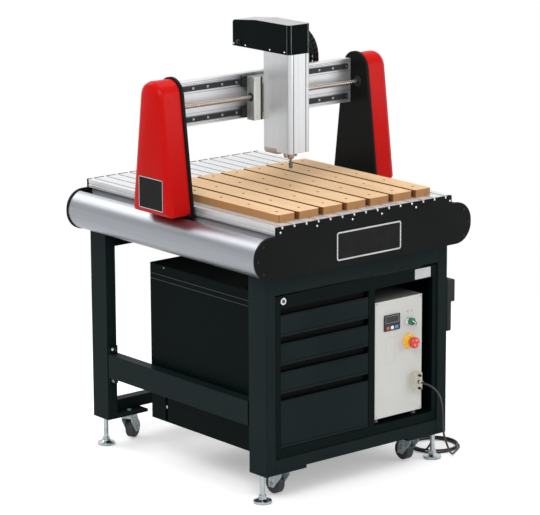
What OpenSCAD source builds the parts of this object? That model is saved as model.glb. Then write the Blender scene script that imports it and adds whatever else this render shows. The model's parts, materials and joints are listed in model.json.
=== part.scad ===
// Bench-frame router: a T-slot table on a rolling stand, a moving gantry and a vertical cutting head.

/* [Table] */
// Width of the T-slot table
table_w = 750; // [700:10:850]
// Length of the table between its end plates
table_l = 985; // [900:5:1100]
// Thickness of the table extrusions
table_t = 28; // [26:1:34]
// Distance between neighbouring T-slots
slot_pitch = 50; // [46:1:54]
// Number of T-slots
slot_count = 15; // [9:2:15]
// Width of a T-slot's mouth
slot_mouth = 8; // [6:1:10]
// Thickness of an end plate
end_plate_t = 10; // [6:1:12]
// How far the rounded ends reach past the table's edge
base_over = 88; // [80:1:110]
// Height of the base under the table
base_h = 142; // [136:1:160]
// Radius of the rounded ends
end_r = 66; // [60:1:68]

/* [Spoilboard] */
// Thickness of the wooden slats
slat_t = 25; // [15:1:30]
// Length of the slats
slat_l = 642; // [560:2:700]
// Gap between two slats
slat_gap = 12; // [6:1:14]
// Setback of the slats from the table's front edge
slat_setback = 40; // [20:1:60]
// Diameter of the screw holes in the slats
slat_hole_d = 10; // [6:1:12]

/* [Gantry] */
// Gap between the table's edge and a gantry plate
plate_gap = 15; // [12:1:20]
// Thickness of a gantry plate
plate_t = 12; // [10:1:15]
// Depth of a gantry cover, from its plate outwards
cover_t = 84; // [60:1:100]
// Radius of the gantry plate's top
plate_r = 60; // [54:1:66]
// How much smaller than its plate a cover is
cover_inset = 6; // [3:1:10]
// Lean of the gantry plate's edges
plate_lean = 7.2; // [5:0.1:9]
// Clear height from the table to the beam
beam_clear = 240; // [200:1:280]
// Height of the beam
beam_h = 150; // [140:1:165]
// Depth of the beam
beam_d = 32; // [28:1:40]

/* [Head] */
// Width of the saddle on the beam
saddle_w = 160; // [130:2:200]
// Width of the head column
col_w = 90; // [86:1:110]
// Depth of the head column
col_d = 130; // [124:1:150]
// Height of the head column
col_h = 328; // [310:1:340]
// Wall of the head column
col_wall = 5; // [4:0.5:6]
// Height from the slats to the column
head_clear = 115; // [105:1:125]
// Height of the head cover
head_cover_h = 98; // [90:1:110]
// How far the head cover reaches behind the column
head_cover_back = 160; // [140:1:170]
// Diameter of the spindle motor
spindle_d = 76; // [60:1:78]
// Diameter of the ball screws
screw_d = 16; // [14:1:16]
// Length of the cutter below its nut
cutter_l = 32; // [24:1:40]

/* [Stand] */
// Height of the stand
stand_h = 750; // [700:5:800]
// Height of the frame above the floor
frame_clear = 97; // [90:1:110]
// Width of a leg across the stand
leg_w = 40; // [36:1:46]
// Depth of a leg along the stand
leg_d = 85; // [80:1:90]
// Width over the legs
stand_w = 784; // [770:2:820]
// Length over the legs
stand_l = 930; // [900:2:960]
// Wall of the leg and rail tubes
tube_wall = 3; // [2:0.5:4]
// Height of the top rails
top_rail_h = 60; // [50:1:65]
// Height of the bottom rails
low_rail_h = 40; // [36:1:44]
// Height of the side beams
side_beam_h = 82; // [70:1:100]
// Height of the side beams' lower edge
side_beam_z = 250; // [230:1:280]
// Thickness of the caster plates
caster_plate_t = 10; // [8:1:12]
// Diameter of a caster wheel
wheel_d = 68; // [60:1:70]
// Width of a caster wheel
wheel_w = 30; // [22:1:32]
// Diameter of a foot's pad
foot_d = 60; // [50:1:66]
// Diameter of a foot's stud
stud_d = 16; // [12:1:18]

/* [Cabinet] */
// Depth of the cabinet
cab_d = 645; // [600:5:680]
// Sheet thickness of the cabinet
sheet = 2; // [1.5:0.5:3]
// Gap between the cabinet and the top rails
cab_top_gap = 6; // [3:1:20]
// Height of the cabinet's top fascia
fascia_h = 42; // [36:1:50]
// Width of the drawer stack's opening
stack_w = 375; // [360:1:380]
// Width of the cabinet's left stile
stile_w = 26; // [20:1:28]
// Width of the divider between drawers and control bay
divider_w = 26; // [20:1:30]
// Height of one shallow drawer
drawer_h = 94; // [90:0.5:96]
// Height of a drawer's finger slot
finger_h = 21; // [16:1:26]
// Travel of the drawers
drawer_travel = 400; // [300:10:440]
// Width of the control panel
panel_w = 208; // [190:1:220]
// Height of the control panel
panel_h = 396; // [370:1:402]
// Depth of the control box
case_d = 396; // [300:2:440]

/* [Cable] */
// Diameter of the hand control's cable
cable_d = 7; // [7:1:7]

/* [Hidden] */
$fn = 48;
over = 1;
// Clearances: round shafts, sliding faces and curved faces
shaft_gap = 0.05;
slide_gap = 0.3;
// Gap between two pieces that are welded or bolted edge to edge
seam = 0.2;
// Main levels
base_top = stand_h + base_h;
table_z = base_top + table_t;
slat_z = table_z + slat_t;
beam_z = table_z + beam_clear;
half_l = table_l / 2 + end_plate_t;
plate_x = table_w / 2 + plate_gap;
plate_out = plate_x + plate_t;
base_half_w = table_w / 2 + base_over;
// Base drive: rails on the base beams' outer faces, screws inside the side covers
truck_stack = 30;
face_x = plate_x - truck_stack;
beam_wall_w = 30;
drive_x = plate_out + screw_d;
drive_z = stand_h + base_h / 2 + 1;
rail_h = 14;
rail_w = 20;
rail_end = 10;
shell_t = 3;
shell_lip = 13;
// Gantry levels
plate_drop = 34;
plate_zc = beam_z + beam_h - plate_drop;
plate_foot = 46;
plate_foot_z = drive_z - plate_foot;
plate_foot_half = 92;
plate_step = 16;
cover_gap = 2;
cover_z = base_top + cover_gap;
beam_y = 20;
x_rail_w = 18;
x_rail_h = 12;
x_rail_end = 22;
x_rail_edge = 24;
screw_y = -16;
screw_z = beam_z + beam_h / 2;
// Head places, from the beam forwards
truck_web = 6;
saddle_back = beam_y - x_rail_h - truck_web;
saddle_t = 36;
saddle_front = saddle_back - saddle_t;
z_stack = 8;
col_back = saddle_front - z_stack;
col_front = col_back - col_d;
col_z = slat_z + head_clear;
col_top = col_z + col_h;
spindle_in = 47;
spindle_y = col_front + spindle_in;
z_screw_in = 20;
z_screw_y = col_back - z_screw_in;
z_screw_d = 12;
cap_t = 8;
nose_d = 40;
shaft_d = 20;
nut_d = 26;
nut_h = 22;
nut_drop = 3;
nut_z = col_z - nut_drop - nut_h;
cutter_d = 8;
// Stand places
leg_x = stand_w / 2 - leg_w;
leg_y = stand_l / 2 - leg_d;
leg_z = frame_clear + caster_plate_t;
rail_y = 40;
plate_reach = 170;
foot_x = stand_w / 2 - leg_w / 2;
foot_y = stand_l / 2 - leg_d / 2;
caster_in = [109, 58];
caster_x = stand_w / 2 - caster_in[0];
caster_y = stand_l / 2 - caster_in[1];
caster_trail = 28;
caster_turns = [270, 270, 210, 160];
// Height at which the feet hold the wheels off the floor
wheel_lift = 4.5;
axle_z = wheel_d / 2 + wheel_lift;
axle_d = 8;
fork_t = 2.5;
swivel_d = 14;
// Cabinet places
cab_half = leg_x;
cab_front = -stand_l / 2 + 5;
cab_back = cab_front + cab_d;
cab_z = leg_z + low_rail_h;
cab_top = stand_h - top_rail_h - cab_top_gap;
stack_x = -cab_half + stile_w;
stack_end = stack_x + stack_w;
bay_x = stack_end + divider_w;
bay_post = 21;
bay_end = cab_half - bay_post;
sill_h = 32;
stack_z = cab_z + sill_h;
stack_top = cab_top - fascia_h;
drawer_gap = 1;
drawer_t = 16;
// Part of a drawer that stays in its runners when it is open
drawer_hold = 160;
drawer_d = drawer_travel + drawer_hold;
runner_reach = 3;
runner_h = 10;
runner_z = 14;
runner_in = 8;
// Control box places
panel_in = 4;
panel_y = cab_front + panel_in;
panel_t = 2;
panel_gap = 5;
panel_x = bay_x + panel_gap;
panel_lift = 18;
panel_z = stack_z + panel_lift;
case_foot_h = panel_z - stack_z - sheet;
// Fittings on the panel, measured from its lower left corner
display_at = [73, 320];
display_size = [70, 54];
switch_at = [152, 312];
estop_at = [148, 244];
plug_at = [175, 104];
switch_d = 30;
estop_d = 38;
collar_d = 50;
estop_throw = 5;
// Hand control on the right front leg
pendant_y = -stand_l / 2 + 42;
pendant_z = 445;
pendant_x = stand_w / 2 + 4;
// Cable chain behind the beam
chain_drop = 5;
chain_h = 25;
chain_w = 36;
chain_gap = 6;
chain_y = col_back + head_cover_back + chain_gap;
chain_r = 122.5;
chain_bend_x = 206;
chain_end_x = 160;
chain_fix_x = -95;
chain_zc = beam_z + beam_h - chain_drop;

// Box between two limits on each axis
module span(x, y, z) {
    translate([x[0], y[0], z[0]]) cube([x[1] - x[0], y[1] - y[0], z[1] - z[0]]);
}

// The same shape on the left and right
module pair() {
    children();
    mirror([1, 0, 0]) children();
}

// The same shape at the front and back
module ends() {
    children();
    mirror([0, 1, 0]) children();
}

// Open square tube between limits, with its bore along one axis
module tube(x, y, z, axis) {
    w = tube_wall;
    g = [for (i = [0:2]) i == axis ? -over : w];
    difference() {
        span(x, y, z);
        span([x[0] + g[0], x[1] - g[0]], [y[0] + g[1], y[1] - g[1]], [z[0] + g[2], z[1] - g[2]]);
    }
}

// Stand

module legs() {
    color("#26292a") pair() ends()
        tube([leg_x, leg_x + leg_w], [-leg_y - leg_d, -leg_y], [leg_z, stand_h], 2);
}

module cross_rails() {
    y0 = -stand_l / 2;
    color("#26292a") ends() {
        tube([-leg_x, leg_x], [y0, y0 + rail_y], [stand_h - top_rail_h, stand_h], 0);
        tube([-leg_x, leg_x], [y0, y0 + rail_y], [leg_z, leg_z + low_rail_h], 0);
    }
}

flange_t = 6;
flange_over = 26;
flange_inset = 4;
module side_beams() {
    color("#2b2e2f") pair() {
        z1 = side_beam_z + side_beam_h;
        y1 = leg_y - flange_t - seam;
        tube([leg_x, leg_x + leg_w], [-y1, y1], [side_beam_z, z1], 1);
        ends() span([leg_x, leg_x + leg_w - flange_inset], [-leg_y, -leg_y + flange_t],
            [side_beam_z - flange_over, z1 + flange_over]);
    }
}

module caster_plates() {
    color("#222526") pair() ends() difference() {
        span([stand_w / 2 - plate_reach, stand_w / 2], [-stand_l / 2, -stand_l / 2 + leg_d], [frame_clear, leg_z]);
        translate([foot_x, -foot_y, frame_clear - over])
            cylinder(d = stud_d + 2 * shaft_gap, h = caster_plate_t + 2 * over);
        translate([caster_x, -caster_y, frame_clear - over])
            cylinder(d = swivel_d + 2 * shaft_gap, h = caster_plate_t + 2 * over);
    }
}

// One levelling foot: pad, stud and hexagon under the plate
pad_h = 15;
pad_edge = 9;
pad_boss = 6;
boss_h = 3;
stud_rise = 30;
hexagon = [26, 8];
module foot(sx, sy) {
    boss_r = stud_d / 2 + pad_boss;
    boss_top = pad_h + boss_h;
    color("#c3c8cb") translate([sx * foot_x, sy * foot_y, 0]) {
        rotate_extrude() polygon([[0, 0], [foot_d / 2, 0], [foot_d / 2, pad_edge], [boss_r, pad_h],
            [boss_r, boss_top], [0, boss_top]]);
        cylinder(d = stud_d, h = leg_z + stud_rise);
        translate([0, 0, boss_top]) cylinder(d = hexagon[0], h = hexagon[1], $fn = 6);
    }
}

// One caster's fork, turned about its swivel
race_d = 52;
race_h = 8;
crown_t = 6;
cheek_h = 10;
race_z = frame_clear - race_h;
crown_z = race_z - crown_t;
crown_half = 25;
cheek_z = crown_z - cheek_h;
eye_r = 12;
wheel_gap = 1.5;
swivel_head = 4;
module caster_fork(i) {
    sx = i % 2 == 0 ? -1 : 1;
    sy = i < 2 ? -1 : 1;
    color("#b4bcc0") translate([sx * caster_x, sy * caster_y, 0]) rotate(caster_turns[i]) {
        cylinder_z(swivel_d, crown_z, leg_z + swivel_head);
        cylinder_z(race_d, race_z, frame_clear - slide_gap);
        fork_in = wheel_w / 2 + wheel_gap;
        difference() {
            for (s = [-1, 1]) fork_cheek(s, fork_in);
            translate([-caster_trail, -wheel_w, axle_z]) rotate([-90, 0, 0])
                cylinder(d = axle_d + 2 * shaft_gap, h = 2 * wheel_w);
        }
        span([-crown_half, crown_half], [-fork_in - fork_t, fork_in + fork_t], [crown_z, race_z]);
    }
}

module fork_cheek(side, inner) {
    y = side > 0 ? inner : -inner - fork_t;
    translate([0, y + fork_t, 0]) rotate([90, 0, 0]) linear_extrude(fork_t) polygon([
        [-crown_half, race_z], [crown_half, race_z], [crown_half - wheel_gap, cheek_z],
        [-caster_trail + eye_r, axle_z - eye_r], [-caster_trail - eye_r, axle_z - eye_r],
        [-caster_trail - eye_r, axle_z + eye_r]]);
}

module cylinder_z(d, z0, z1) {
    translate([0, 0, z0]) cylinder(d = d, h = z1 - z0);
}

// One caster's wheel with its axle
tread_r = 4;
axle_head = 2;
module caster_wheel(i) {
    sx = i % 2 == 0 ? -1 : 1;
    sy = i < 2 ? -1 : 1;
    color("#4a4c4e") translate([sx * caster_x, sy * caster_y, 0]) rotate(caster_turns[i])
        translate([-caster_trail, 0, axle_z]) rotate([90, 0, 0]) {
            rotate_extrude() polygon([[0, -wheel_w / 2], [wheel_d / 2 - tread_r, -wheel_w / 2],
                [wheel_d / 2, tread_r - wheel_w / 2], [wheel_d / 2, wheel_w / 2 - tread_r],
                [wheel_d / 2 - tread_r, wheel_w / 2], [0, wheel_w / 2]]);
            axle_half = wheel_w / 2 + wheel_gap + fork_t + axle_head;
            translate([0, 0, -axle_half]) cylinder(d = axle_d, h = 2 * axle_half);
        }
}

// Cabinet

slit_y = 560;
slit_w = 10;
lock_d = 18;
lock_at = [stack_x + 11, cab_front, cab_top - 18];
module toolbox_shell() {
    inner_y = [cab_front + drawer_t + seam, cab_back - sheet - seam];
    inner_z = [cab_z + sheet + seam, cab_top - sheet - seam];
    bar_y = [cab_front, cab_front + drawer_t];
    color("#1e2223") {
        // Sides, back, top, bottom, the wall between drawers and control bay, and the bay's floor
        for (x = [-cab_half, cab_half - sheet]) difference() {
            span([x, x + sheet], inner_y, inner_z);
            span([x - over, x + sheet + over], [cab_front + slit_y, cab_front + slit_y + slit_w],
                [cab_z, side_beam_z]);
        }
        span([-cab_half, cab_half], [cab_back - sheet, cab_back], inner_z);
        for (z = [cab_z, cab_top - sheet]) span([-cab_half, cab_half], [inner_y[0], cab_back], [z, z + sheet]);
        span([bay_x - sheet, bay_x], inner_y, inner_z);
        span([bay_x + seam, cab_half - sheet - seam], inner_y, [stack_z, stack_z + sheet]);
        // Front frame: stiles, divider, fascia and sill
        for (x = [[-cab_half, stack_x], [stack_end, bay_x], [bay_end, cab_half]])
            span(x, bar_y, [stack_z + seam, stack_top - seam]);
        span([-cab_half, cab_half], bar_y, [cab_z, stack_z]);
        difference() {
            span([-cab_half, cab_half], bar_y, [stack_top, cab_top]);
            translate(lock_at - [0, over, 0]) rotate([-90, 0, 0])
                cylinder(d = lock_d + 2 * shaft_gap, h = drawer_t + 2 * over);
        }
    }
}

drawer_levels = [for (i = [0:3]) i < 3 ? stack_top - drawer_h * (i + 1) : stack_z];
drawer_tops = [for (i = [0:3]) stack_top - drawer_h * i];

// Fixed runners: one bar each side of every drawer, on the shell's walls
module drawer_runners() {
    y = [cab_front + drawer_t + runner_in, cab_back - sheet];
    color("#8d9396") for (z = drawer_levels) {
        span([-cab_half + sheet, stack_x + runner_reach], y, [z + runner_z, z + runner_z + runner_h]);
        span([stack_end - runner_reach, bay_x - sheet], y, [z + runner_z, z + runner_z + runner_h]);
    }
}

drawer_inset = 1;
drawer_wall = 1.5;
lip_t = 4;
// How far the drawer's box stays below its front
box_low = 14;
// One drawer: box with rails, and a front whose top edge leaves a finger slot
module drawer(i) {
    z0 = drawer_levels[i] + drawer_gap;
    z1 = drawer_tops[i] - drawer_gap;
    x = [stack_x + drawer_gap, stack_end - drawer_gap];
    inner = [stack_x + runner_in, stack_end - runner_in];
    front = cab_front + drawer_inset;
    box_y = cab_front + drawer_t;
    back = box_y + drawer_d;
    w = drawer_wall;
    box_z = [z0 + sheet, z1 - box_low];
    box_w = [inner[0] + w + seam, inner[1] - w - seam];
    box_l = [box_y + seam, back - w - seam];
    lip_z = z1 - finger_h - lip_t;
    color("#23282a") {
        // Front with its lip, and the wall behind the finger slot
        span(x, [front, front + sheet], [z0, lip_z - seam]);
        span(x, [front, box_y - sheet - seam], [lip_z, lip_z + lip_t]);
        span(x, [box_y - sheet, box_y], [z0, z1]);
        // Floor, back and sides with their rails
        span(box_w, box_l, [box_z[0], box_z[0] + w]);
        span(inner, [back - w, back], box_z);
        for (s = [0, 1]) {
            reach = runner_reach + slide_gap;
            rail = s == 0 ? [stack_x + reach, inner[0] - seam] : [inner[1] + seam, stack_end - reach];
            rail_z = drawer_levels[i] + runner_z;
            span(s == 0 ? [inner[0], inner[0] + w] : [inner[1] - w, inner[1]], box_l, box_z);
            span(rail, [box_y + lip_t, back], [rail_z, rail_z + runner_h]);
        }
    }
}

lock_rim = [23, 2.5];
lock_tail = 4;
key_slot = [2.4, 8, 3];
module lock_barrel() {
    color("#b9bdbf") translate(lock_at) rotate([-90, 0, 0]) difference() {
        union() {
            translate([0, 0, -lock_rim[1]]) cylinder(d = lock_rim[0], h = lock_rim[1] - slide_gap);
            translate([0, 0, -over]) cylinder(d = lock_d, h = drawer_t + over + lock_tail);
        }
        translate([-key_slot[0] / 2, -key_slot[1] / 2, -lock_rim[1] - over])
            cube([key_slot[0], key_slot[1], key_slot[2] + over]);
    }
}

// Control box

case_foot_in = 20;
case_foot_d = 20;
module control_case() {
    x = [panel_x, panel_x + panel_w];
    y = [panel_y + panel_t, panel_y + panel_t + case_d];
    z = [panel_z, panel_z + panel_h];
    color("#3a3c3d") {
        difference() {
            span(x, y, z);
            span([x[0] + sheet, x[1] - sheet], [y[0] - over, y[1] - sheet], [z[0] + sheet, z[1] - sheet]);
        }
        for (px = [x[0] + case_foot_in, x[1] - case_foot_in], py = [y[0] + case_foot_in, y[1] - case_foot_in])
            translate([px, py, panel_z - case_foot_h]) cylinder(d = case_foot_d, h = case_foot_h);
    }
}

// Place on the panel's front face, with +Z of the child pointing out of it
module on_panel(at) {
    translate([panel_x + at[0], panel_y, panel_z + at[1]]) rotate([90, 0, 0]) children();
}

stem_d = 16;
stem_l = 32;
sleeve_d = stem_d + 5;
knob_shaft_d = 10;
display_t = 3;
module control_panel() {
    color("#d5d4d0") difference() {
        span([panel_x, panel_x + panel_w], [panel_y, panel_y + panel_t], [panel_z, panel_z + panel_h]);
        for (at = [switch_at, estop_at]) on_panel(at) translate([0, 0, -panel_t - over])
            cylinder(d = sleeve_d + 1, h = panel_t + 2 * over);
    }
}

bezel_h = 8;
collar_h = 18;
module panel_fittings() {
    color("#2a2c2e") on_panel(display_at) translate([-display_size[0] / 2, -display_size[1] / 2, 0])
        cube([display_size[0], display_size[1], display_t]);
    color("#c9cccd") on_panel(switch_at) difference() {
        union() {
            cylinder(d = switch_d, h = bezel_h);
            translate([0, 0, -stem_l]) cylinder(d = sleeve_d, h = stem_l + over);
        }
        translate([0, 0, -stem_l - over]) cylinder(d = knob_shaft_d + 2 * shaft_gap, h = stem_l + bezel_h + 2 * over);
    }
    color("#e8b023") on_panel(estop_at) difference() {
        union() {
            cylinder(d = collar_d, h = collar_h);
            translate([0, 0, -stem_l]) cylinder(d = sleeve_d, h = stem_l + over);
        }
        translate([0, 0, -stem_l - over]) cylinder(d = stem_d + 2 * shaft_gap, h = stem_l + collar_h + 2 * over);
    }
}

knob = [26, 8];
grip = [28, 8, 9];
knob_angle = -35;
module switch_knob() {
    color("#1f6b45") on_panel(switch_at) {
        translate([0, 0, -stem_l / 2]) cylinder(d = knob_shaft_d, h = stem_l / 2 + bezel_h + over);
        translate([0, 0, bezel_h + slide_gap]) cylinder(d = knob[0], h = knob[1]);
        rotate(knob_angle) translate([-grip[0] / 2, -grip[1] / 2, bezel_h + knob[1] - over]) cube(grip);
    }
}

module estop_button() {
    color("#c8281e") on_panel(estop_at) {
        translate([0, 0, -stem_l / 2]) cylinder(d = stem_d, h = stem_l / 2 + collar_h + estop_throw + over);
        translate([0, 0, collar_h + estop_throw + slide_gap]) rotate_extrude()
            polygon([[0, 0], [estop_d / 2 - 3, 0], [estop_d / 2, 4], [estop_d / 2, 12], [estop_d / 2 - 4, 17], [0, 18]]);
    }
}

hood = [30, 58, 24];
relief_h = 16;
relief_d = 12;
module cable_plug() {
    color("#b9b6a8") on_panel(plug_at) {
        translate([-hood[0] / 2, -hood[1] / 2, 0]) cube(hood);
        translate([0, 0, hood[2]]) cylinder(d = relief_d, h = relief_h);
    }
}

// Hand control and its holder on the right front leg

pendant_w = 80;
pendant_h = 175;
pendant_head_h = 76;
pendant_t = 20;
pendant_head_t = 36;
holder_lip = [14, 6];
module pendant_case() {
    y = [pendant_y - pendant_w / 2, pendant_y + pendant_w / 2];
    z = pendant_z + pendant_h;
    color("#2d2f31") union() {
        span([pendant_x, pendant_x + pendant_t], y, [pendant_z, z]);
        span([pendant_x, pendant_x + pendant_head_t], y, [z - pendant_head_h, z]);
    }
}

module pendant_holder() {
    y = [pendant_y - pendant_w / 3, pendant_y + pendant_w / 4];
    z = pendant_z + pendant_h;
    color("#1b1d1e") {
        span([stand_w / 2, pendant_x], y, [pendant_z + pendant_h / 6, z + holder_lip[1]]);
        span([pendant_x, pendant_x + holder_lip[0]], y, [z, z + holder_lip[1]]);
    }
}

// Cable of the hand control

cable_r = cable_d / 2;
coil_c = [462, -335];
coil_r = 86;
coil_step = 9;
coil_flat = 1.1;
coil_turns = 2 * coil_flat + 0.5;
coil_a0 = 302;
coil_lift = cable_d + 0.6;
function ease(t) = t <= 0 ? 0 : t >= 1 ? 1 : t * t * (3 - 2 * t);
function coil_radius(t) = t < coil_flat ? coil_r - coil_step * t
    : t < coil_flat + 0.5 ? coil_r - coil_step * coil_flat
    : coil_r - coil_step * (coil_turns - t);
function coil_point(t) = [
    coil_c[0] + coil_radius(t) * cos(coil_a0 + 360 * t),
    coil_c[1] + coil_radius(t) * sin(coil_a0 + 360 * t),
    cable_r + coil_lift * ease((t - coil_flat) / 0.5)];
function unit(v) = v / norm(v);
coil_in = unit(coil_point(0.01) - coil_point(0));
coil_out = unit(coil_point(coil_turns) - coil_point(coil_turns - 0.01));
coil_start = coil_point(0) - cable_d * coil_in;
coil_finish = coil_point(coil_turns) + cable_d * coil_out;
coil_rings = round(24 * coil_turns);
coil_path = concat([coil_start], [for (i = [0:coil_rings]) coil_point(coil_turns * i / coil_rings)], [coil_finish]);
// Least gap between turns, measured on points that lie at least a third of a turn apart
gap_points = [for (i = [0:4 * coil_rings]) coil_point(coil_turns * i / (4 * coil_rings))];
echo(coil_gap = min([for (i = [0:len(gap_points) - 1], j = [i + 32:1:len(gap_points) - 1])
    norm(gap_points[i] - gap_points[j])]) - cable_d);

plug_exit = [panel_x + plug_at[0], panel_y - hood[2] - relief_h, panel_z + plug_at[1]];
drop_route = concat([plug_exit], [[256, -510, 300], [262, -522, 296], [273, -529, 287], [290, -528, 272],
    [310, -521, 250], [329, -510, 225], [345, -498, 196], [355, -490, 165], [361, -485, 135], [367, -482, 108],
    [376, -479, 82], [389, -475, 58], [403, -470, 37], [418, -462, 20], [434, -453, 9], [452, -442, 4],
    [470, -431, 3.5]], [coil_start]);
pendant_exit = [pendant_x + pendant_t / 2, pendant_y + 22, pendant_z];
rise_route = concat([coil_finish], [[384, -374, 14], [389, -384, 24], [395, -392, 42], [401, -397, 64],
    [405, -400, 90], [406, -401, 120], [406, -401, 180], [406, -401, 240], [406, -401, 300], [406, -401, 360]],
    [pendant_exit]);

// Smooth curve through a list of points, with a few steps between neighbours
function curve_at(p, i, t) = let (
    a = p[max(i - 1, 0)], b = p[i], c = p[i + 1], d = p[min(i + 2, len(p) - 1)])
    0.5 * (2 * b + (c - a) * t + (2 * a - 5 * b + 4 * c - d) * t * t + (3 * b - a - 3 * c + d) * t * t * t);
function smooth_path(p, steps) = concat(
    [for (i = [0:len(p) - 2], s = [0:steps - 1]) curve_at(p, i, s / steps)], [p[len(p) - 1]]);
function tangents(p) = [for (i = [0:len(p) - 1]) unit(p[min(i + 1, len(p) - 1)] - p[max(i - 1, 0)])];
function flatten(v, t) = unit(v - (v * t) * t);
function normals(t) = [for (i = 0, n = flatten([0.3, 0.2, 1], t[0]); i < len(t); i = i + 1,
    n = i < len(t) ? flatten(n, t[i]) : n) n];

// Round tube along a path, as one closed skin of triangles
module cable(path, sides) {
    t = tangents(path);
    n = normals(t);
    last = len(path) - 1;
    points = [for (i = [0:last], k = [0:sides - 1])
        path[i] + cable_r * (cos(360 * k / sides) * n[i] + sin(360 * k / sides) * cross(t[i], n[i]))];
    skin = [for (i = [0:last - 1], k = [0:sides - 1]) let (
        a = i * sides + k, b = i * sides + (k + 1) % sides) each [[a, a + sides, b], [b, a + sides, b + sides]]];
    cap0 = [for (k = [1:sides - 2]) [0, k, k + 1]];
    cap1 = [for (k = [1:sides - 2]) [last * sides, last * sides + k + 1, last * sides + k]];
    color("#1b1b1c") polyhedron(points, concat(skin, cap0, cap1));
}

module cord_drop() {
    cable(smooth_path(drop_route, 3), 8);
}

module cord_coil() {
    cable(coil_path, 6);
}

module cord_rise() {
    cable(smooth_path(rise_route, 2), 8);
}

// Table and base

// Points on an arc, and an outline drawn across X or across Y
function arc(c, r, a0, a1, n) = [for (i = [0:n]) let (a = a0 + (a1 - a0) * i / n) c + r * [cos(a), sin(a)]];

module along_y(y0, y1) {
    translate([0, y1, 0]) rotate([90, 0, 0]) linear_extrude(y1 - y0) children();
}

module along_x(x0, x1) {
    translate([x0, 0, 0]) rotate([90, 0, 90]) linear_extrude(x1 - x0) children();
}

function slot_x(i) = (i - (slot_count - 1) / 2) * slot_pitch;
slot_neck = 7;
slot_foot = 16;
slot_foot_h = 7;
groove = 4;
chamber = [22, 20];
chamber_floor = 4;
// Outline of a strip's side, from its foot to its top: half a T-slot, or the table's grooved edge
function slot_side(x, s) = let (foot = table_t - slot_neck - slot_foot_h, neck = table_t - slot_neck) [
    [x + s * seam / 2, 0], [x + s * seam / 2, foot], [x + s * slot_foot / 2, foot], [x + s * slot_foot / 2, neck],
    [x + s * slot_mouth / 2, neck], [x + s * slot_mouth / 2, table_t]];
function edge_side(s) = let (x = s * table_w / 2, x1 = x - s * groove / 2, z = table_t / 2) [
    [x, 0], [x, z - groove], [x1, z - groove], [x1, z], [x, z], [x, table_t]];
function reversed(v) = [for (i = [len(v) - 1:-1:0]) v[i]];
module table_top() {
    color("#cfd2d4") along_y(-table_l / 2, table_l / 2) translate([0, base_top]) for (i = [0:slot_count]) difference() {
        polygon(concat(i == 0 ? edge_side(-1) : slot_side(slot_x(i - 1), 1),
            reversed(i == slot_count ? edge_side(1) : slot_side(slot_x(i), -1))));
        if (i > 0 && i < slot_count) translate([slot_x(i) - slot_pitch / 2 - chamber[0] / 2, chamber_floor]) square(chamber);
    }
}

slat_pitch = 2 * slot_pitch;
slat_edge_w = 71;
slat_y = -table_l / 2 + slat_setback;
slat_hole_pitch = 140;
slat_hole_y = 51;
slat_hole_h = 9;
slat_holes = floor((slat_l - slat_hole_y) / slat_hole_pitch);
slat_corner = 8;
function slat_centre(i) = abs(i) < 3 ? i * slat_pitch : sign(i) * (2.5 * slat_pitch + slat_gap / 2 + slat_edge_w / 2);
function slat_width(i) = abs(i) < 3 ? slat_pitch - slat_gap : slat_edge_w;
module spoilboard() {
    color("#d3a875") for (i = [-3:3]) translate([slat_centre(i), slat_y, table_z]) difference() {
        w = slat_width(i) / 2;
        linear_extrude(slat_t) polygon(concat(
            arc([slat_corner - w, slat_corner], slat_corner, 180, 270, 6),
            arc([w - slat_corner, slat_corner], slat_corner, 270, 360, 6), [[w, slat_l], [-w, slat_l]]));
        for (k = [0:slat_holes]) translate([0, slat_hole_y + k * slat_hole_pitch, slat_t - slat_hole_h])
            cylinder(d = slat_hole_d, h = slat_hole_h + over, $fn = 24);
    }
}

plate_low = 2;
notch_over = 1;
module end_outline() {
    lo = stand_h + plate_low;
    x = base_half_w - end_r;
    difference() {
        union() {
            polygon(concat(arc([x, lo + end_r], end_r, -90, 0, 10), arc([x, base_top - end_r], end_r, 0, 90, 10),
                arc([-x, base_top - end_r], end_r, 90, 180, 10), arc([-x, lo + end_r], end_r, 180, 270, 10)));
            translate([-table_w / 2, base_top - over]) square([table_w, table_t + over]);
        }
        for (i = [0:slot_count - 1]) translate([slot_x(i) - slot_mouth / 2 - notch_over, table_z - slot_neck - notch_over])
            square([slot_mouth + 2 * notch_over, slot_neck + notch_over + over]);
    }
}

module end_plates() {
    color("#1c1e20") ends() along_y(-half_l, -table_l / 2) end_outline();
}

cover_r = (base_h - plate_low) / 2 - plate_low;
cover_cx = base_half_w - plate_low - cover_r;
cover_cz = stand_h + plate_low + (base_h - plate_low) / 2;
lip_angle = acos((plate_out + shell_lip - cover_cx) / cover_r);
module side_covers() {
    bottom = cover_cz - cover_r;
    color("#b9bcc0") pair() along_y(-table_l / 2, table_l / 2) polygon(concat(
        arc([cover_cx, cover_cz], cover_r, lip_angle, -90, 20), [[face_x, bottom], [face_x, bottom + shell_t]],
        arc([cover_cx, cover_cz], cover_r - shell_t, -90, lip_angle, 20)));
}

tie_w = 40;
beam_skin = 5;
module base_beams() {
    color("#c4c7c9") {
        pair() along_y(-table_l / 2, table_l / 2) translate([face_x - beam_wall_w, stand_h]) difference() {
            square([beam_wall_w, base_h]);
            translate([beam_skin, beam_skin]) square([beam_wall_w - 2 * beam_skin, base_h - 2 * beam_skin]);
        }
        for (y = [-table_l / 3, 0, table_l / 3])
            tube([beam_wall_w - face_x, face_x - beam_wall_w], [y - tie_w / 2, y + tie_w / 2], [base_top - tie_w, base_top], 0);
    }
}

module y_rails() {
    color("#8f9497") pair() span([face_x, face_x + rail_h], [rail_end - table_l / 2, table_l / 2 - rail_end],
        [drive_z - rail_w / 2, drive_z + rail_w / 2]);
}

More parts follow.
